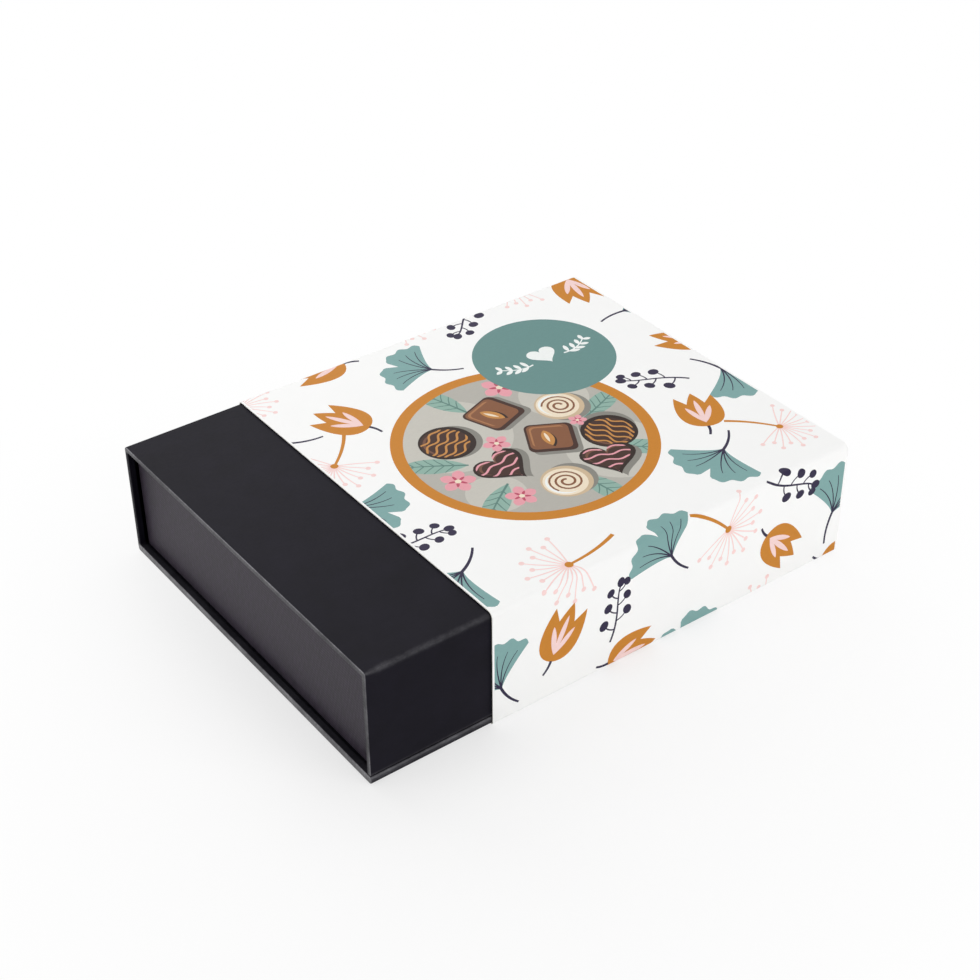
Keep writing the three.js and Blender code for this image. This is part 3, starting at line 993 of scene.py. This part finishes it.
def sleeve():
    """The printed sleeve: its outer face as cut by the print, its inner face and the card's edges."""
    blank, printed = Blank(), Print()
    scatter(printed, blank)
    medallion(printed)
    found, triangles, inks = cut_blank(blank, printed)
    names = ["card", *INKS]
    edge_slot = len(names)
    materials = [
        paper_material("white_card", colour("f8f8f7"), **CARD_LOOK),
        *(ink(f"ink_{name}", colour(text)) for name, text in INKS.items()),
        paper_material("card_edge", colour("e4e1da"), **CUT_CARD_LOOK),
    ]
    used = {}
    points, faces, slots, normals = [], [], [], []

    def add_face(corners, slot, corner_normals):
        faces.append(corners)
        slots.append(slot)
        normals.extend(corner_normals)

    def outer_point(index):
        if index not in used:
            used[index] = len(points)
            points.append(blank.outer(*found[index]))
        return used[index]

    for triangle, name in zip(triangles, inks):
        a, b, c = (found[i] for i in triangle)
        if (b[0] - a[0]) * (c[1] - a[1]) - (c[0] - a[0]) * (b[1] - a[1]) < 0:
            triangle = triangle[::-1]
        middle = (a[1] + b[1] + c[1]) / 3
        corner_normals = [blank.normal(found[i][1], middle) for i in triangle]
        add_face([outer_point(i) for i in triangle], names.index(name), corner_normals)

    # Along each open end, the outer points in the order of v, and an inner one for each.
    ends = []
    for u in (0.0, blank.length):
        rail = sorted((found[i][1], used[i]) for i in used if abs(found[i][0] - u) < TOUCH)
        ends.append(([point for _, point in rail], range(len(points), len(points) + len(rail))))
        points += [blank.inner(u, v) for v, _ in rail]
        if u == 0.0:
            steps = [v for v, _ in rail]
    (near, near_inner), (far, far_inner) = ends
    for i, (v0, v1) in enumerate(zip(steps, steps[1:])):
        j = i + 1
        n0, n1 = (tuple(-x for x in blank.normal(v, (v0 + v1) / 2)) for v in (v0, v1))
        add_face([near_inner[i], near_inner[j], far_inner[j], far_inner[i]], 0, (n0, n1, n1, n0))
        add_face([near[i], near[j], near_inner[j], near_inner[i]], edge_slot, [(-1, 0, 0)] * 4)
        add_face([far[j], far[i], far_inner[i], far_inner[j]], edge_slot, [(1, 0, 0)] * 4)

    # The card's edges along the glue flap and at the back panel's foot.
    for v, last, facing in ((blank.low, 0, 1), (blank.high, -1, -1)):
        row = sorted((i for i in used if abs(found[i][1] - v) < TOUCH), key=lambda i: found[i][0])
        loop = [near_inner[last], *(used[i] for i in row), far_inner[last]]
        add_face(loop[::-facing], edge_slot, [(0, 0, facing)] * len(loop))
    piece = mesh_piece("printed_sleeve", points, faces, materials, slots, normals)
    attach(piece, "sleeve")
    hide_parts("sleeve")


# The black case: boards in one sheet of paper, drawn as a section and swept along the box.

END_ROUND = 0.9 * BOARD_EDGE


def rounded_section(corners):
    """Spans of a closed outline that turns anticlockwise, as (start, end, start normal, end normal)."""
    count = len(corners)
    arcs = []
    for i, (y, z, radius) in enumerate(corners):
        here = Vector((y, z))
        before = Vector(corners[i - 1][:2])
        after = Vector(corners[(i + 1) % count][:2])
        arrive, leave = (here - before).normalized(), (after - here).normalized()
        normal_in, normal_out = Vector((arrive.y, -arrive.x)), Vector((leave.y, -leave.x))
        if radius <= 0:
            arcs.append([(here, normal_in), (here, normal_out)])
            continue
        centre = here - arrive * radius + leave * radius
        facing = [normal_in * math.cos(t) + normal_out * math.sin(t) for t in quarter_arc(CORNER_STEPS)]
        arcs.append([(centre + normal * radius, normal) for normal in facing])
    spans = []
    for i, arc in enumerate(arcs):
        for (p0, n0), (p1, n1) in zip(arc, arc[1:]):
            if (p1 - p0).length > HAIR:
                spans.append((p0, p1, n0, n1))
        following = arcs[(i + 1) % count][0]
        spans.append((arc[-1][0], following[0], arc[-1][1], following[1]))
    return spans


def rounded_rectangle(low, high, radius):
    """The spans of a rectangle with round corners."""
    corners = (low, (high[0], low[1]), high, (low[0], high[1]))
    return rounded_section([(*corner, radius) for corner in corners])


def swept(name, section, stations, material, marks):
    """Sweeps a section along X through the stations, with its end edges rounded.

    Each mark is a value at every point, found by its function, which the material can read.
    """
    arc = quarter_arc(EDGE_STEPS)
    rings = [(stations[0], 1, angle) for angle in arc]
    rings += [(x, 0, QUARTER) for x in stations[1:-1]]
    rings += [(stations[-1], -1, angle) for angle in reversed(arc)]
    outlines = [section(x) for x, _, _ in rings]
    count = len(outlines[0])
    points, faces, normals = [], [], []
    values = {mark: [] for mark in marks}
    for (x, inward, angle), spans in zip(rings, outlines):
        for i, (p0, _, n0, _) in enumerate(spans):
            n_before = spans[i - 1][3]
            mitre = (n_before + n0) / (1 + n_before.dot(n0))
            spot = p0 - mitre * END_ROUND * (1 - math.sin(angle))
            points.append((x + inward * END_ROUND * (1 - math.cos(angle)), spot.x, spot.y))
            for mark, value_at in marks.items():
                values[mark].append(value_at(p0, n0, angle))
    for r, (first, second) in enumerate(zip(rings, rings[1:])):
        faces += joined(r * count, (r + 1) * count, count)
        for here, beyond in zip(outlines[r], outlines[r + 1]):
            turns = ((first, here[2]), (first, here[3]), (second, beyond[3]), (second, beyond[2]))
            for (_, inward, angle), n in turns:
                side = n * math.sin(angle)
                normals.append((-inward * math.cos(angle), side.x, side.y))
    last = (len(rings) - 1) * count
    for first, inward in ((0, 1), (last, -1)):
        outline = [Vector(points[first + i][1:]) for i in range(count)]
        cut = delaunay_2d_cdt(outline, closed_edges(0, count), [], KEEP_INSIDE, HAIR)
        _, _, triangles, origin, _, _ = cut
        for triangle in triangles:
            corners = [origin[i][0] + first for i in triangle]
            a, b, c = (Vector(points[i]) for i in corners)
            if (b - a).cross(c - a).x * -inward < 0:
                corners = corners[::-1]
            faces.append(corners)
            normals += [(-inward, 0, 0)] * 3
    piece = mesh_piece(name, points, faces, [material], None, normals)
    for mark, found in values.items():
        attribute = piece.data.attributes.new(mark, "FLOAT", "POINT")
        attribute.data.foreach_set("value", found)
    return piece


def case_cover():
    """The case as it is covered: base, spine, lid and flap, with soft board edges."""
    front, back = case_low.y + BASE_LIP, case_high.y
    low, top = case_low.z, case_high.z
    flap_foot = low + COVERED_BASE + FLAP_GAP
    foot_band, turn_in = 1.5, 1.0
    spine_low, spine_high = low + COVERED_BASE + turn_in, top - COVERED_CASE - turn_in
    pinched, even_from = 1.2, 9.0

    def section(x):
        """The fold over the flap is pinched sharp at its ends, where the paper is turned in."""
        from_end = min(x - case_low.x, case_high.x - x) / even_from
        lid_fold = pinched + (FLAP_FOLD - pinched) * math.sin(min(from_end, 1.0) * QUARTER)
        corners = [
            (case_low.y, low, BASE_EDGE),
            (back, low, SPINE_FOLD),
            (back, spine_low, 0),
            (back, spine_high, 0),
            (back, top, SPINE_FOLD),
            (front, top, lid_fold),
            (front, flap_foot + foot_band, 0),
            (front, flap_foot, BOARD_EDGE),
            (front + COVERED_CASE, flap_foot, BOARD_EDGE),
            (front + COVERED_CASE, top - COVERED_CASE, 0),
            (back - COVERED_CASE, top - COVERED_CASE, 0),
            (back - COVERED_CASE, spine_high, 0),
            (back - COVERED_CASE, spine_low, 0),
            (back - COVERED_CASE, low + COVERED_BASE, 0),
            (case_low.y, low + COVERED_BASE, BASE_EDGE),
        ]
        return rounded_section(corners)

    def board_at(point):
        y, z = point
        if z < low + COVERED_BASE + SLACK:
            return "base"
        if z > top - COVERED_CASE - SLACK:
            return "lid"
        return "spine" if y > back - COVERED_CASE - SLACK else "flap"

    def wear_and_highlight(point, normal, angle):
        """How far the paper is rubbed grey, with painted highlights mixed in: most on the lid's rim, more
        where its ends face up, then along the base's upper edge, with a painted sheen on the fold over the
        flap and a painted highlight on the flap's foot.
        """
        y, z = point
        cap, rim = math.cos(angle), math.sin(2 * angle) ** 2
        # On the boards' ends: rubbed grey at the caps, with painted highlights on the rounded rims, and on
        # the lid more where it faces up.
        on_ends = {
            "base": 0.05 + (0.2 + 0.08 * normal.y) * cap + 0.4 * rim,
            "lid": (0.45 + 0.4 * max(normal.y, 0.0)) * (0.12 * cap + 0.8 * rim),
            "spine": 0.02 * rim,
            "flap": 0.24 * (1 - normal.x) * (0.15 * cap + rim),
        }
        board = board_at(point)
        lip = fold_sheen = foot = 0.0
        # A painted highlight on the upper rounding of the base's front lip, and none on its lower half, as
        # if lit from above.
        if board == "base" and y < front + BASE_EDGE:
            height = (z - low) / COVERED_BASE
            lip = 0.42 * min(max(3.0 * height - 1.7, 0.0), 1.0) * min(8 * (1 - normal.y), 1.0)
        # A painted sheen along the rounded fold over the flap.
        if z > top - FLAP_FOLD and y < front + FLAP_FOLD:
            fold_sheen = 0.16 * max(-2 * normal.x * normal.y, 0.0) ** 2
        # A painted highlight on the flap's rounded foot, where it faces the front.
        if board == "flap" and z < flap_foot + BOARD_EDGE + SLACK:
            foot = 0.08 * max(-normal.x, 0.0)
        return max(on_ends[board], lip, fold_sheen, foot)

    def gloss(point, normal, angle):
        """How far the paper is pressed smooth: where it is drawn tight over the boards' ends."""
        shares = {"base": 1.0, "lid": 0.72, "spine": 0.1, "flap": 0.5 - 0.35 * normal.x}
        return shares[board_at(point)] * math.cos(angle)

    near, far, shares = case_low.x, case_high.x, (0.2, 0.4, 0.7, 1.0)
    stations = [near, *(near + even_from * share for share in shares)]
    stations += [*(far - even_from * share for share in shares[::-1]), far]
    marks = {WEAR_AND_HIGHLIGHT: wear_and_highlight, GLOSS: gloss}
    piece = swept("case_cover", section, stations, black_paper(), marks)
    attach(piece, "box")
    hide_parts("case_wrap")


def base_board():
    """The thick base board, with its edges and corners pressed round under the paper."""
    low, high = box_mm("base_board")
    paper, end_gap = 0.2, 0.05
    spans = rounded_rectangle((low.y, low.z), (high.y, high.z), BASE_EDGE - paper)
    ends = (low.x + end_gap, high.x - end_gap)
    piece = swept("base_board_soft", lambda x: spans, ends, greyboard(), {})
    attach(piece, "box")
    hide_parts("base_board")


def tray_cover():
    """The tray's four walls in their linen paper, with soft corners and a soft rim."""
    thick, corner_radius, rim = 2.4, 0.7, 0.4
    low, high = tray_low, tray_high
    arc = quarter_arc(EDGE_STEPS)
    outer = [(rim * (1 - math.cos(a)), high.z - rim * (1 - math.sin(a)), a) for a in arc]
    inner = [(thick - inset, z, math.pi - a) for inset, z, a in reversed(outer)]
    profile = [(0.0, low.z, 0.0), *outer, *inner, (thick, low.z, math.pi)]
    points, faces, normals, rings = [], [], [], []
    for inset, z, _ in profile:
        near, far = (low.x + inset, low.y + inset), (high.x - inset, high.y - inset)
        rings.append(rounded_rectangle(near, far, max(corner_radius - inset, SLACK)))
        points += [(p.x, p.y, z) for p, _, _, _ in rings[-1]]
    count = len(rings[0])

    def normal_at(n, angle):
        side = n * math.cos(angle)
        return (side.x, side.y, math.sin(angle))

    for r, (_, _, a) in enumerate(profile):
        s = (r + 1) % len(profile)
        b = profile[s][2]
        faces += joined(r * count, s * count, count)
        for _, _, n0, n1 in rings[r]:
            if s == 0:
                normals += [(0, 0, -1)] * 4
            else:
                normals += [normal_at(n0, a), normal_at(n1, a), normal_at(n1, b), normal_at(n0, b)]
    piece = mesh_piece("tray_cover", points, faces, [linen_paper()], None, normals)
    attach(piece, "box")
    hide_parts("tray_wrap")


# The filling: four kinds of praline and the embossed pads.

PRALINES_IN_LAYER = 16
PRALINE_ROW = 4
INSERT_SHEET = 0.5
INSERT_CORNER = 3.0
CUP_SIDES = 48
CUP_LAND = 6.3
CUP_DRAFT = 1.5
CUP_LIP = 1.4
CUP_FOOT = 2.4
PRALINE_TURNS = 72
PRALINE_RINGS = 22
CUSHIONS = 24
CUSHION_POINTS = 6
PAD_PAPER_SHARE = 0.3


# Each shape takes how far out a place is, from 0 to 1, and its angle. It gives the shares of the
# praline's radius and of its height there.


def domed_shape(out, angle):
    return 1.0, math.sqrt(1 - out**4)


def square_shape(out, angle):
    side = (math.cos(angle) ** 4 + math.sin(angle) ** 4) ** -0.25
    return 0.84 * side, (1 - out**10) ** 0.5 - 0.08 * (1 - min(out / 0.8, 1.0) ** 2)


def swirled_shape(out, angle):
    ridge = 0.06 * math.sin(angle + 16 * out) * min(5 * (1 - out), 1.0)
    return 1.0, 0.93 * math.sqrt(1 - out**4) + ridge


def fluted_shape(out, angle):
    flute = 0.05 * out * (1 - abs(math.cos(6 * angle)))
    nut = 0.24 * math.sqrt(max(1 - (out / 0.34) ** 2, 0.0))
    return 1.0 - flute, 0.76 * (1 - out**8) ** 0.5 + nut


PRALINES = {
    "dark_chocolate": domed_shape,
    "bitter_chocolate": square_shape,
    "milk_chocolate": swirled_shape,
    "white_chocolate": fluted_shape,
}


def ring_points(middle, radius, z, sides):
    """The points of a level ring round a middle."""
    turns = [step / sides * math.tau for step in range(sides)]
    return [(middle.x + radius * math.cos(a), middle.y + radius * math.sin(a), z) for a in turns]


def cup_profile(rim, foot_radius, top, bottom, lip, foot):
    """A cup's side from its lip to its floor, as (radius, height). Lip and foot are the roundings' radii."""
    arc = quarter_arc(EDGE_STEPS)
    upper = [(rim - lip[0] * math.sin(a), top - lip[1] + lip[0] * math.cos(a)) for a in arc]
    lower = [(foot_radius + foot[0] * math.cos(a), bottom + foot[1] - foot[0] * math.sin(a)) for a in arc]
    return upper + lower


def formed_insert(node, layer, material):
    """A thin formed sheet: a plate with a round cup for each chocolate, with a soft lip and foot."""
    low, high = box_mm(node)
    cups = [box_mm(f"{layer}_chocolate_{k + 1}") for k in range(PRALINES_IN_LAYER)]
    middles = [(cup_low + cup_high) / 2 for cup_low, cup_high in cups]
    pitch = min((middles[i] - middles[0]).length for i in (1, PRALINE_ROW))
    rim = (pitch - CUP_LAND) / 2 - INSERT_SHEET + CUP_LIP
    inner_foot = rim - CUP_LIP - CUP_DRAFT - CUP_FOOT
    plane = [p.copy() for p, _, _, _ in rounded_rectangle(low.xy, high.xy, INSERT_CORNER)]
    border = len(plane)
    edges = closed_edges(0, border)
    for middle in middles:
        edges += closed_edges(len(plane), CUP_SIDES)
        plane += [Vector(p[:2]) for p in ring_points(middle, rim, 0.0, CUP_SIDES)]
    _, _, triangles, origin, _, _ = delaunay_2d_cdt(plane, edges, [], KEEP_ALL, HAIR)
    triangles = [[origin[i][0] for i in triangle] for triangle in triangles]
    inside = rim * math.cos(math.pi / CUP_SIDES) - SLACK

    def on_plate(triangle):
        spot = sum((plane[i] for i in triangle), Vector((0, 0))) / 3
        return all((spot - middle.to_2d()).length > inside for middle in middles)

    plate = [triangle for triangle in triangles if on_plate(triangle)]
    points, faces = [], []
    for thick, way in ((0.0, 1), (INSERT_SHEET, -1)):
        first = len(points)
        points += [(p.x, p.y, high.z - thick) for p in plane]
        faces += [[first + i for i in triangle[::way]] for triangle in plate]
        lip, foot = (CUP_LIP - thick, CUP_LIP), (CUP_FOOT + thick, CUP_FOOT + INSERT_SHEET)
        profile = cup_profile(rim, inner_foot, high.z, low.z, lip, foot)
        for k, middle in enumerate(middles):
            before = first + border + k * CUP_SIDES
            for radius, z in profile[1:]:
                here = len(points)
                points += ring_points(middle, radius, z, CUP_SIDES)
                faces += joined(before, here, CUP_SIDES, way)
                before = here
            points.append((middle.x, middle.y, profile[-1][1]))
            for i, j in closed_edges(before, CUP_SIDES):
                faces.append([i, j, len(points) - 1][::way])
    under = len(points) // 2
    rim_faces = [[under + i, under + j, j, i] for i, j in closed_edges(0, border)]
    piece = mesh_piece(node + "_formed", points, faces + rim_faces, [material])
    smooth = [True] * len(faces) + [False] * len(rim_faces)
    piece.data.polygons.foreach_set("use_smooth", smooth)
    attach(piece, "box")
    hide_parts(node)


def set_chocolate(node, slot, material):
    """A praline in the place of the CAD model's plain one. Its rings run from the foot in to the crown."""
    low, high = box_mm(node)
    middle = (low + high) / 2
    radius = min(high.x - low.x, high.y - low.y) / 2
    foot_share, foot_height = 0.95, 0.1

    def height(up):
        return low.z + (high.z - low.z) * (foot_height + (1 - foot_height) * up)

    shape = PRALINES[slot]
    points = []
    outs = [math.sin((1 - k / PRALINE_RINGS) * QUARTER) for k in range(PRALINE_RINGS)]
    for level, out in enumerate([foot_share, *outs]):
        for step in range(PRALINE_TURNS):
            angle = step / PRALINE_TURNS * math.tau
            wide, up = shape(out if level else 1.0, angle)
            reach = radius * wide * out
            x, y = middle.x + reach * math.cos(angle), middle.y + reach * math.sin(angle)
            points.append((x, y, height(up) if level else low.z))
    crown = len(points)
    points.append((middle.x, middle.y, height(shape(0.0, 0.0)[1])))
    points.append((middle.x, middle.y, low.z))
    faces = []
    top = PRALINE_RINGS * PRALINE_TURNS
    for first in range(0, top, PRALINE_TURNS):
        faces += joined(first, first + PRALINE_TURNS, PRALINE_TURNS)
    for i, j in closed_edges(0, PRALINE_TURNS):
        faces += [[top + i, top + j, crown], [j, i, crown + 1]]
    piece = mesh_piece(node + "_praline", points, faces, [material])
    mesh = piece.data
    mesh.polygons.foreach_set("use_smooth", [face[-1] != crown + 1 for face in faces])
    own_place = mesh.uv_layers.new(name="own_place")
    for loop, corner in zip(mesh.loops, own_place.data):
        x, y, _ = points[loop.vertex_index]
        corner.uv = (x - middle.x, y - middle.y)
    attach(piece, "box")
    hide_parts(node)


def pad_nodes():
    """Geometry nodes for an embossed pad: a sheet of even thickness, pressed into square cushions.

    Gives the tree, and the identifier of each input by its name.
    """
    tree = bpy.data.node_groups.new("embossed_pad", "GeometryNodeTree")
    kinds = {"Place": "Vector", "Points": "Int", "Material": "Material"}
    inputs = {}
    for label in ("Place", "Length", "Width", "Paper", "Emboss", "Pitch", "Points", "Material"):
        kind = "NodeSocket" + kinds.get(label, "Float")
        inputs[label] = tree.interface.new_socket(label, in_out="INPUT", socket_type=kind).identifier
    tree.interface.new_socket("Geometry", in_out="OUTPUT", socket_type="NodeSocketGeometry")
    start = tree.nodes.new("NodeGroupInput").outputs
    sizes = {"Size X": start["Length"], "Size Y": start["Width"]}
    counts = {"Vertices X": start["Points"], "Vertices Y": start["Points"]}
    grid = wire(tree, "GeometryNodeMeshGrid", {**sizes, **counts})["Mesh"]
    place = wire(tree, "GeometryNodeInputPosition")[0]
    parts = wire(tree, "ShaderNodeSeparateXYZ", {0: place})
    rounds = []
    for axis in ("X", "Y"):
        turn = maths(tree, "DIVIDE", parts[axis], start["Pitch"])
        wave = maths(tree, "COSINE", maths(tree, "MULTIPLY", turn, math.pi))
        rounds.append(maths(tree, "ABSOLUTE", wave))
    plumpness = 0.6
    full = maths(tree, "POWER", maths(tree, "MULTIPLY", *rounds), plumpness)
    up = wire(tree, "ShaderNodeCombineXYZ", {"Z": maths(tree, "MULTIPLY", full, start["Emboss"])})[0]
    pressed = wire(tree, "GeometryNodeSetPosition", {"Geometry": grid, "Offset": up})[0]
    sheet = {"Mesh": pressed, "Offset": (0, 0, 1), "Individual": False, "Offset Scale": start["Paper"]}
    thick = wire(tree, "GeometryNodeExtrudeMesh", sheet, mode="FACES")["Mesh"]
    under = wire(tree, "GeometryNodeFlipFaces", {0: pressed})[0]
    both = wire(tree, "GeometryNodeJoinGeometry", {0: thick})[0]
    feed(tree, both.node.inputs, {0: under})  # The join takes both sheets in its one input.
    closed = wire(tree, "GeometryNodeMergeByDistance", {"Geometry": both, "Distance": 1e-6})[0]
    moved = wire(tree, "GeometryNodeTransform", {"Geometry": closed, "Translation": start["Place"]})[0]
    real = wire(tree, "GeometryNodeRealizeInstances", {0: moved})[0]
    dressed = {"Geometry": real, "Material": start["Material"]}
    finished = wire(tree, "GeometryNodeSetMaterial", dressed)[0]
    feed(tree, tree.nodes.new("NodeGroupOutput").inputs, {0: finished})
    return tree, inputs


def paper_pad(node, nodes, inputs, material):
    """A pad in the place of the CAD model's flat one, with its cushions as high as its box allows."""
    low, high = (corner * MILLIMETRE for corner in box_mm(node))
    size = high - low
    values = {
        "Place": ((low.x + high.x) / 2, (low.y + high.y) / 2, low.z),
        "Length": size.x,
        "Width": size.y,
        "Paper": size.z * PAD_PAPER_SHARE,
        "Emboss": size.z * (1 - PAD_PAPER_SHARE),
        "Pitch": size.x / CUSHIONS,
        "Points": CUSHION_POINTS * CUSHIONS + 1,
        "Material": material,
    }
    holder = placed("pad_holder", bpy.data.meshes.new("pad_holder"))
    modifier = holder.modifiers.new("emboss", "NODES")
    modifier.node_group = nodes
    for label, value in values.items():
        modifier[inputs[label]] = value
    graph = bpy.context.evaluated_depsgraph_get()
    mesh = bpy.data.meshes.new_from_object(holder.evaluated_get(graph))
    bpy.data.objects.remove(holder)
    mesh.polygons.foreach_set("use_smooth", [True] * len(mesh.polygons))
    piece = placed(node + "_embossed", mesh)
    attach(piece, "box")
    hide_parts(node)


def filling():
    """The inserts, the pads and the pralines, each kind with its own shape and topping."""
    drizzle = ("piped_lines", {})
    hollow = ("round_spot", {"Radius": 3.2, "Soft": 0.5})
    dusted = ("piped_lines", {"Spacing": 1.3, "Swing": 0.3, "Wave": 2.2, "Fill": 0.5})
    nut = ("round_spot", {"Radius": 4.6})
    # Each chocolate's own colour, its topping's colour, where that lies, and how deep the surface is.
    looks = {
        "dark_chocolate": (colour("3b2216"), colour("a8703c"), drizzle, 0.5),
        "bitter_chocolate": (colour("5a3520"), colour("6d4630"), dusted, 0.12),
        "milk_chocolate": (colour("7a4c2b"), colour("e8d8b8"), hollow, 0.1),
        "white_chocolate": (colour("e8d8b8"), colour("8a5a30"), nut, 0.1),
    }
    made = {slot: chocolate_material(slot, *look) for slot, look in looks.items()}
    pad_look = dict(roughness=0.7, specular=0.3, uneven=0.3, depth=0.08)
    pad = paper_material("pad_paper", colour("4a3426"), **pad_look, cloud=160.0, fibre=1100.0)
    plastic = formed_plastic()
    for layer in ("lower", "upper"):
        formed_insert(f"{layer}_insert", layer, plastic)
    nodes, inputs = pad_nodes()
    for node in ("middle_pad", "top_pad"):
        paper_pad(node, nodes, inputs, pad)
    for row in frame["record"]["subparts"]:
        slot = row["material_slot"]
        if slot in made:
            set_chocolate(row["node"], slot, made[slot])


def inner_pieces():
    """Materials, in their objects' own slots, for the pieces that are as the CAD model has them."""
    lining_look = dict(roughness=0.55, specular=0.2, uneven=0.3, depth=0.03)
    made = {
        "greyboard": greyboard(),
        "black_paper": paper_material("lining_paper", colour("1b1b1f"), **lining_look),
        "magnet": metal("magnet_nickel", colour("c4c5c6"), roughness=0.22, streaks=1.0),
        "disc_steel": metal("disc_steel", colour("9fa1a4"), roughness=0.38, streaks=0.05),
    }
    for row in frame["record"]["subparts"]:
        if row["material_slot"] in made:
            for slot in frame["nodes"][row["node"]].material_slots:
                slot.link = "OBJECT"
                slot.material = made[row["material_slot"]]


# The studio.

WHITE = (1, 1, 1, 1)


def seen_plainly(tree):
    """One for rays that come from the camera, or by a reflection or through glass, and else zero."""
    path = wire(tree, "ShaderNodeLightPath")
    glossy = maths(tree, "MAXIMUM", path["Is Glossy Ray"], path["Is Transmission Ray"])
    return maths(tree, "MAXIMUM", path["Is Camera Ray"], glossy)


def shared_out(tree, output, share, lit, white):
    """Ends a tree in its lit shader, with a share of plain white."""
    mix = wire(tree, "ShaderNodeMixShader", {0: share, 1: lit, 2: white})[0]
    feed(tree, tree.nodes[output].inputs, {"Surface": mix})


def floor():
    """A plain pale floor. For the camera it is part white of its own, least by the box's front corner."""
    material, tree, shader, place = new_material("studio_floor", roughness=0.9, specular=0.1)
    feed(tree, shader, {"Base Color": (0.93, 0.93, 0.93, 1)})
    corner, least_until, full_from, least = (-0.08, -0.08, 0.0), 0.04, 0.32, 0.64
    distance = vector_maths(tree, "DISTANCE", {0: place, 1: corner}, "Value")
    away = spread(tree, distance, least_until, full_from, least, 1.0, "SMOOTHSTEP")
    share = maths(tree, "MULTIPLY", away, seen_plainly(tree))
    glow = wire(tree, "ShaderNodeEmission", {"Strength": 1.0})[0]
    shared_out(tree, "Material Output", share, tree.nodes["Principled BSDF"].outputs[0], glow)
    half, drop = 3000.0, -0.05
    corners = [(-half, -half, drop), (half, -half, drop), (half, half, drop), (-half, half, drop)]
    piece = mesh_piece("floor", corners, [[0, 1, 2, 3]], [material])


def world(level):
    """A white world that lights at the given level, and is seen as full white."""
    made = bpy.data.worlds.new("studio")
    bpy.context.scene.world = made
    made.use_nodes = True
    tree = made.node_tree
    sky = tree.nodes["Background"]
    feed(tree, sky.inputs, {"Color": WHITE, "Strength": level})
    seen = wire(tree, "ShaderNodeBackground", {"Color": WHITE, "Strength": 1.0})[0]
    shared_out(tree, "World Output", seen_plainly(tree), sky.outputs[0], seen)


def soft_light(name, place, width, height, level):
    """A soft box aimed at the chocolate box, in metres.

    Level is what it adds to a white surface that faces it, where 1 is full white.
    """
    data = bpy.data.lights.new(name, "AREA")
    data.shape = "RECTANGLE"
    data.size, data.size_y = width, height
    away = Vector(place) - Vector((0.0, 0.0, 0.03))
    data.energy = level * math.pi**2 * away.length_squared
    lamp = placed(name, data)
    lamp.matrix_world = Matrix.Translation(place) @ away.to_track_quat("Z", "Y").to_matrix().to_4x4()


def camera():
    """The photograph's viewing angle, as it was solved from the box's edges."""
    data = bpy.data.cameras.new("camera")
    data.lens = 68.34
    data.sensor_width = 36.0
    data.clip_start, data.clip_end = 0.01, 20.0
    place = (-0.42055, -0.5724, 0.5364)
    right = Vector((0.80198, -0.59733, -0.0051))
    up = Vector((0.34783, 0.46002, 0.81695))
    back = Vector((-0.4856, -0.6569, 0.5767))
    turn = Matrix((right, up, back)).transposed()
    thing = placed("camera", data)
    thing.matrix_world = Matrix.Translation(place) @ turn.to_4x4()
    bpy.context.scene.camera = thing


def studio():
    """The floor, the light and the camera, in the plain view of colours."""
    bpy.context.scene.view_settings.view_transform = "Standard"
    floor()
    world(level=0.25)
    soft_light("overhead", (0.3, 0.35, 1.5), width=1.4, height=1.4, level=0.43)
    soft_light("from_the_left", (-0.85, 0.24, 0.28), width=0.7, height=0.5, level=0.33)
    soft_light("from_the_front", (0.35, -1.5, 0.7), width=1.6, height=0.9, level=0.55)
    soft_light("from_behind", (0.0, 1.05, 0.68), width=1.3, height=0.8, level=0.3)
    camera()


sleeve()
case_cover()
base_board()
tray_cover()
filling()
inner_pieces()
studio()
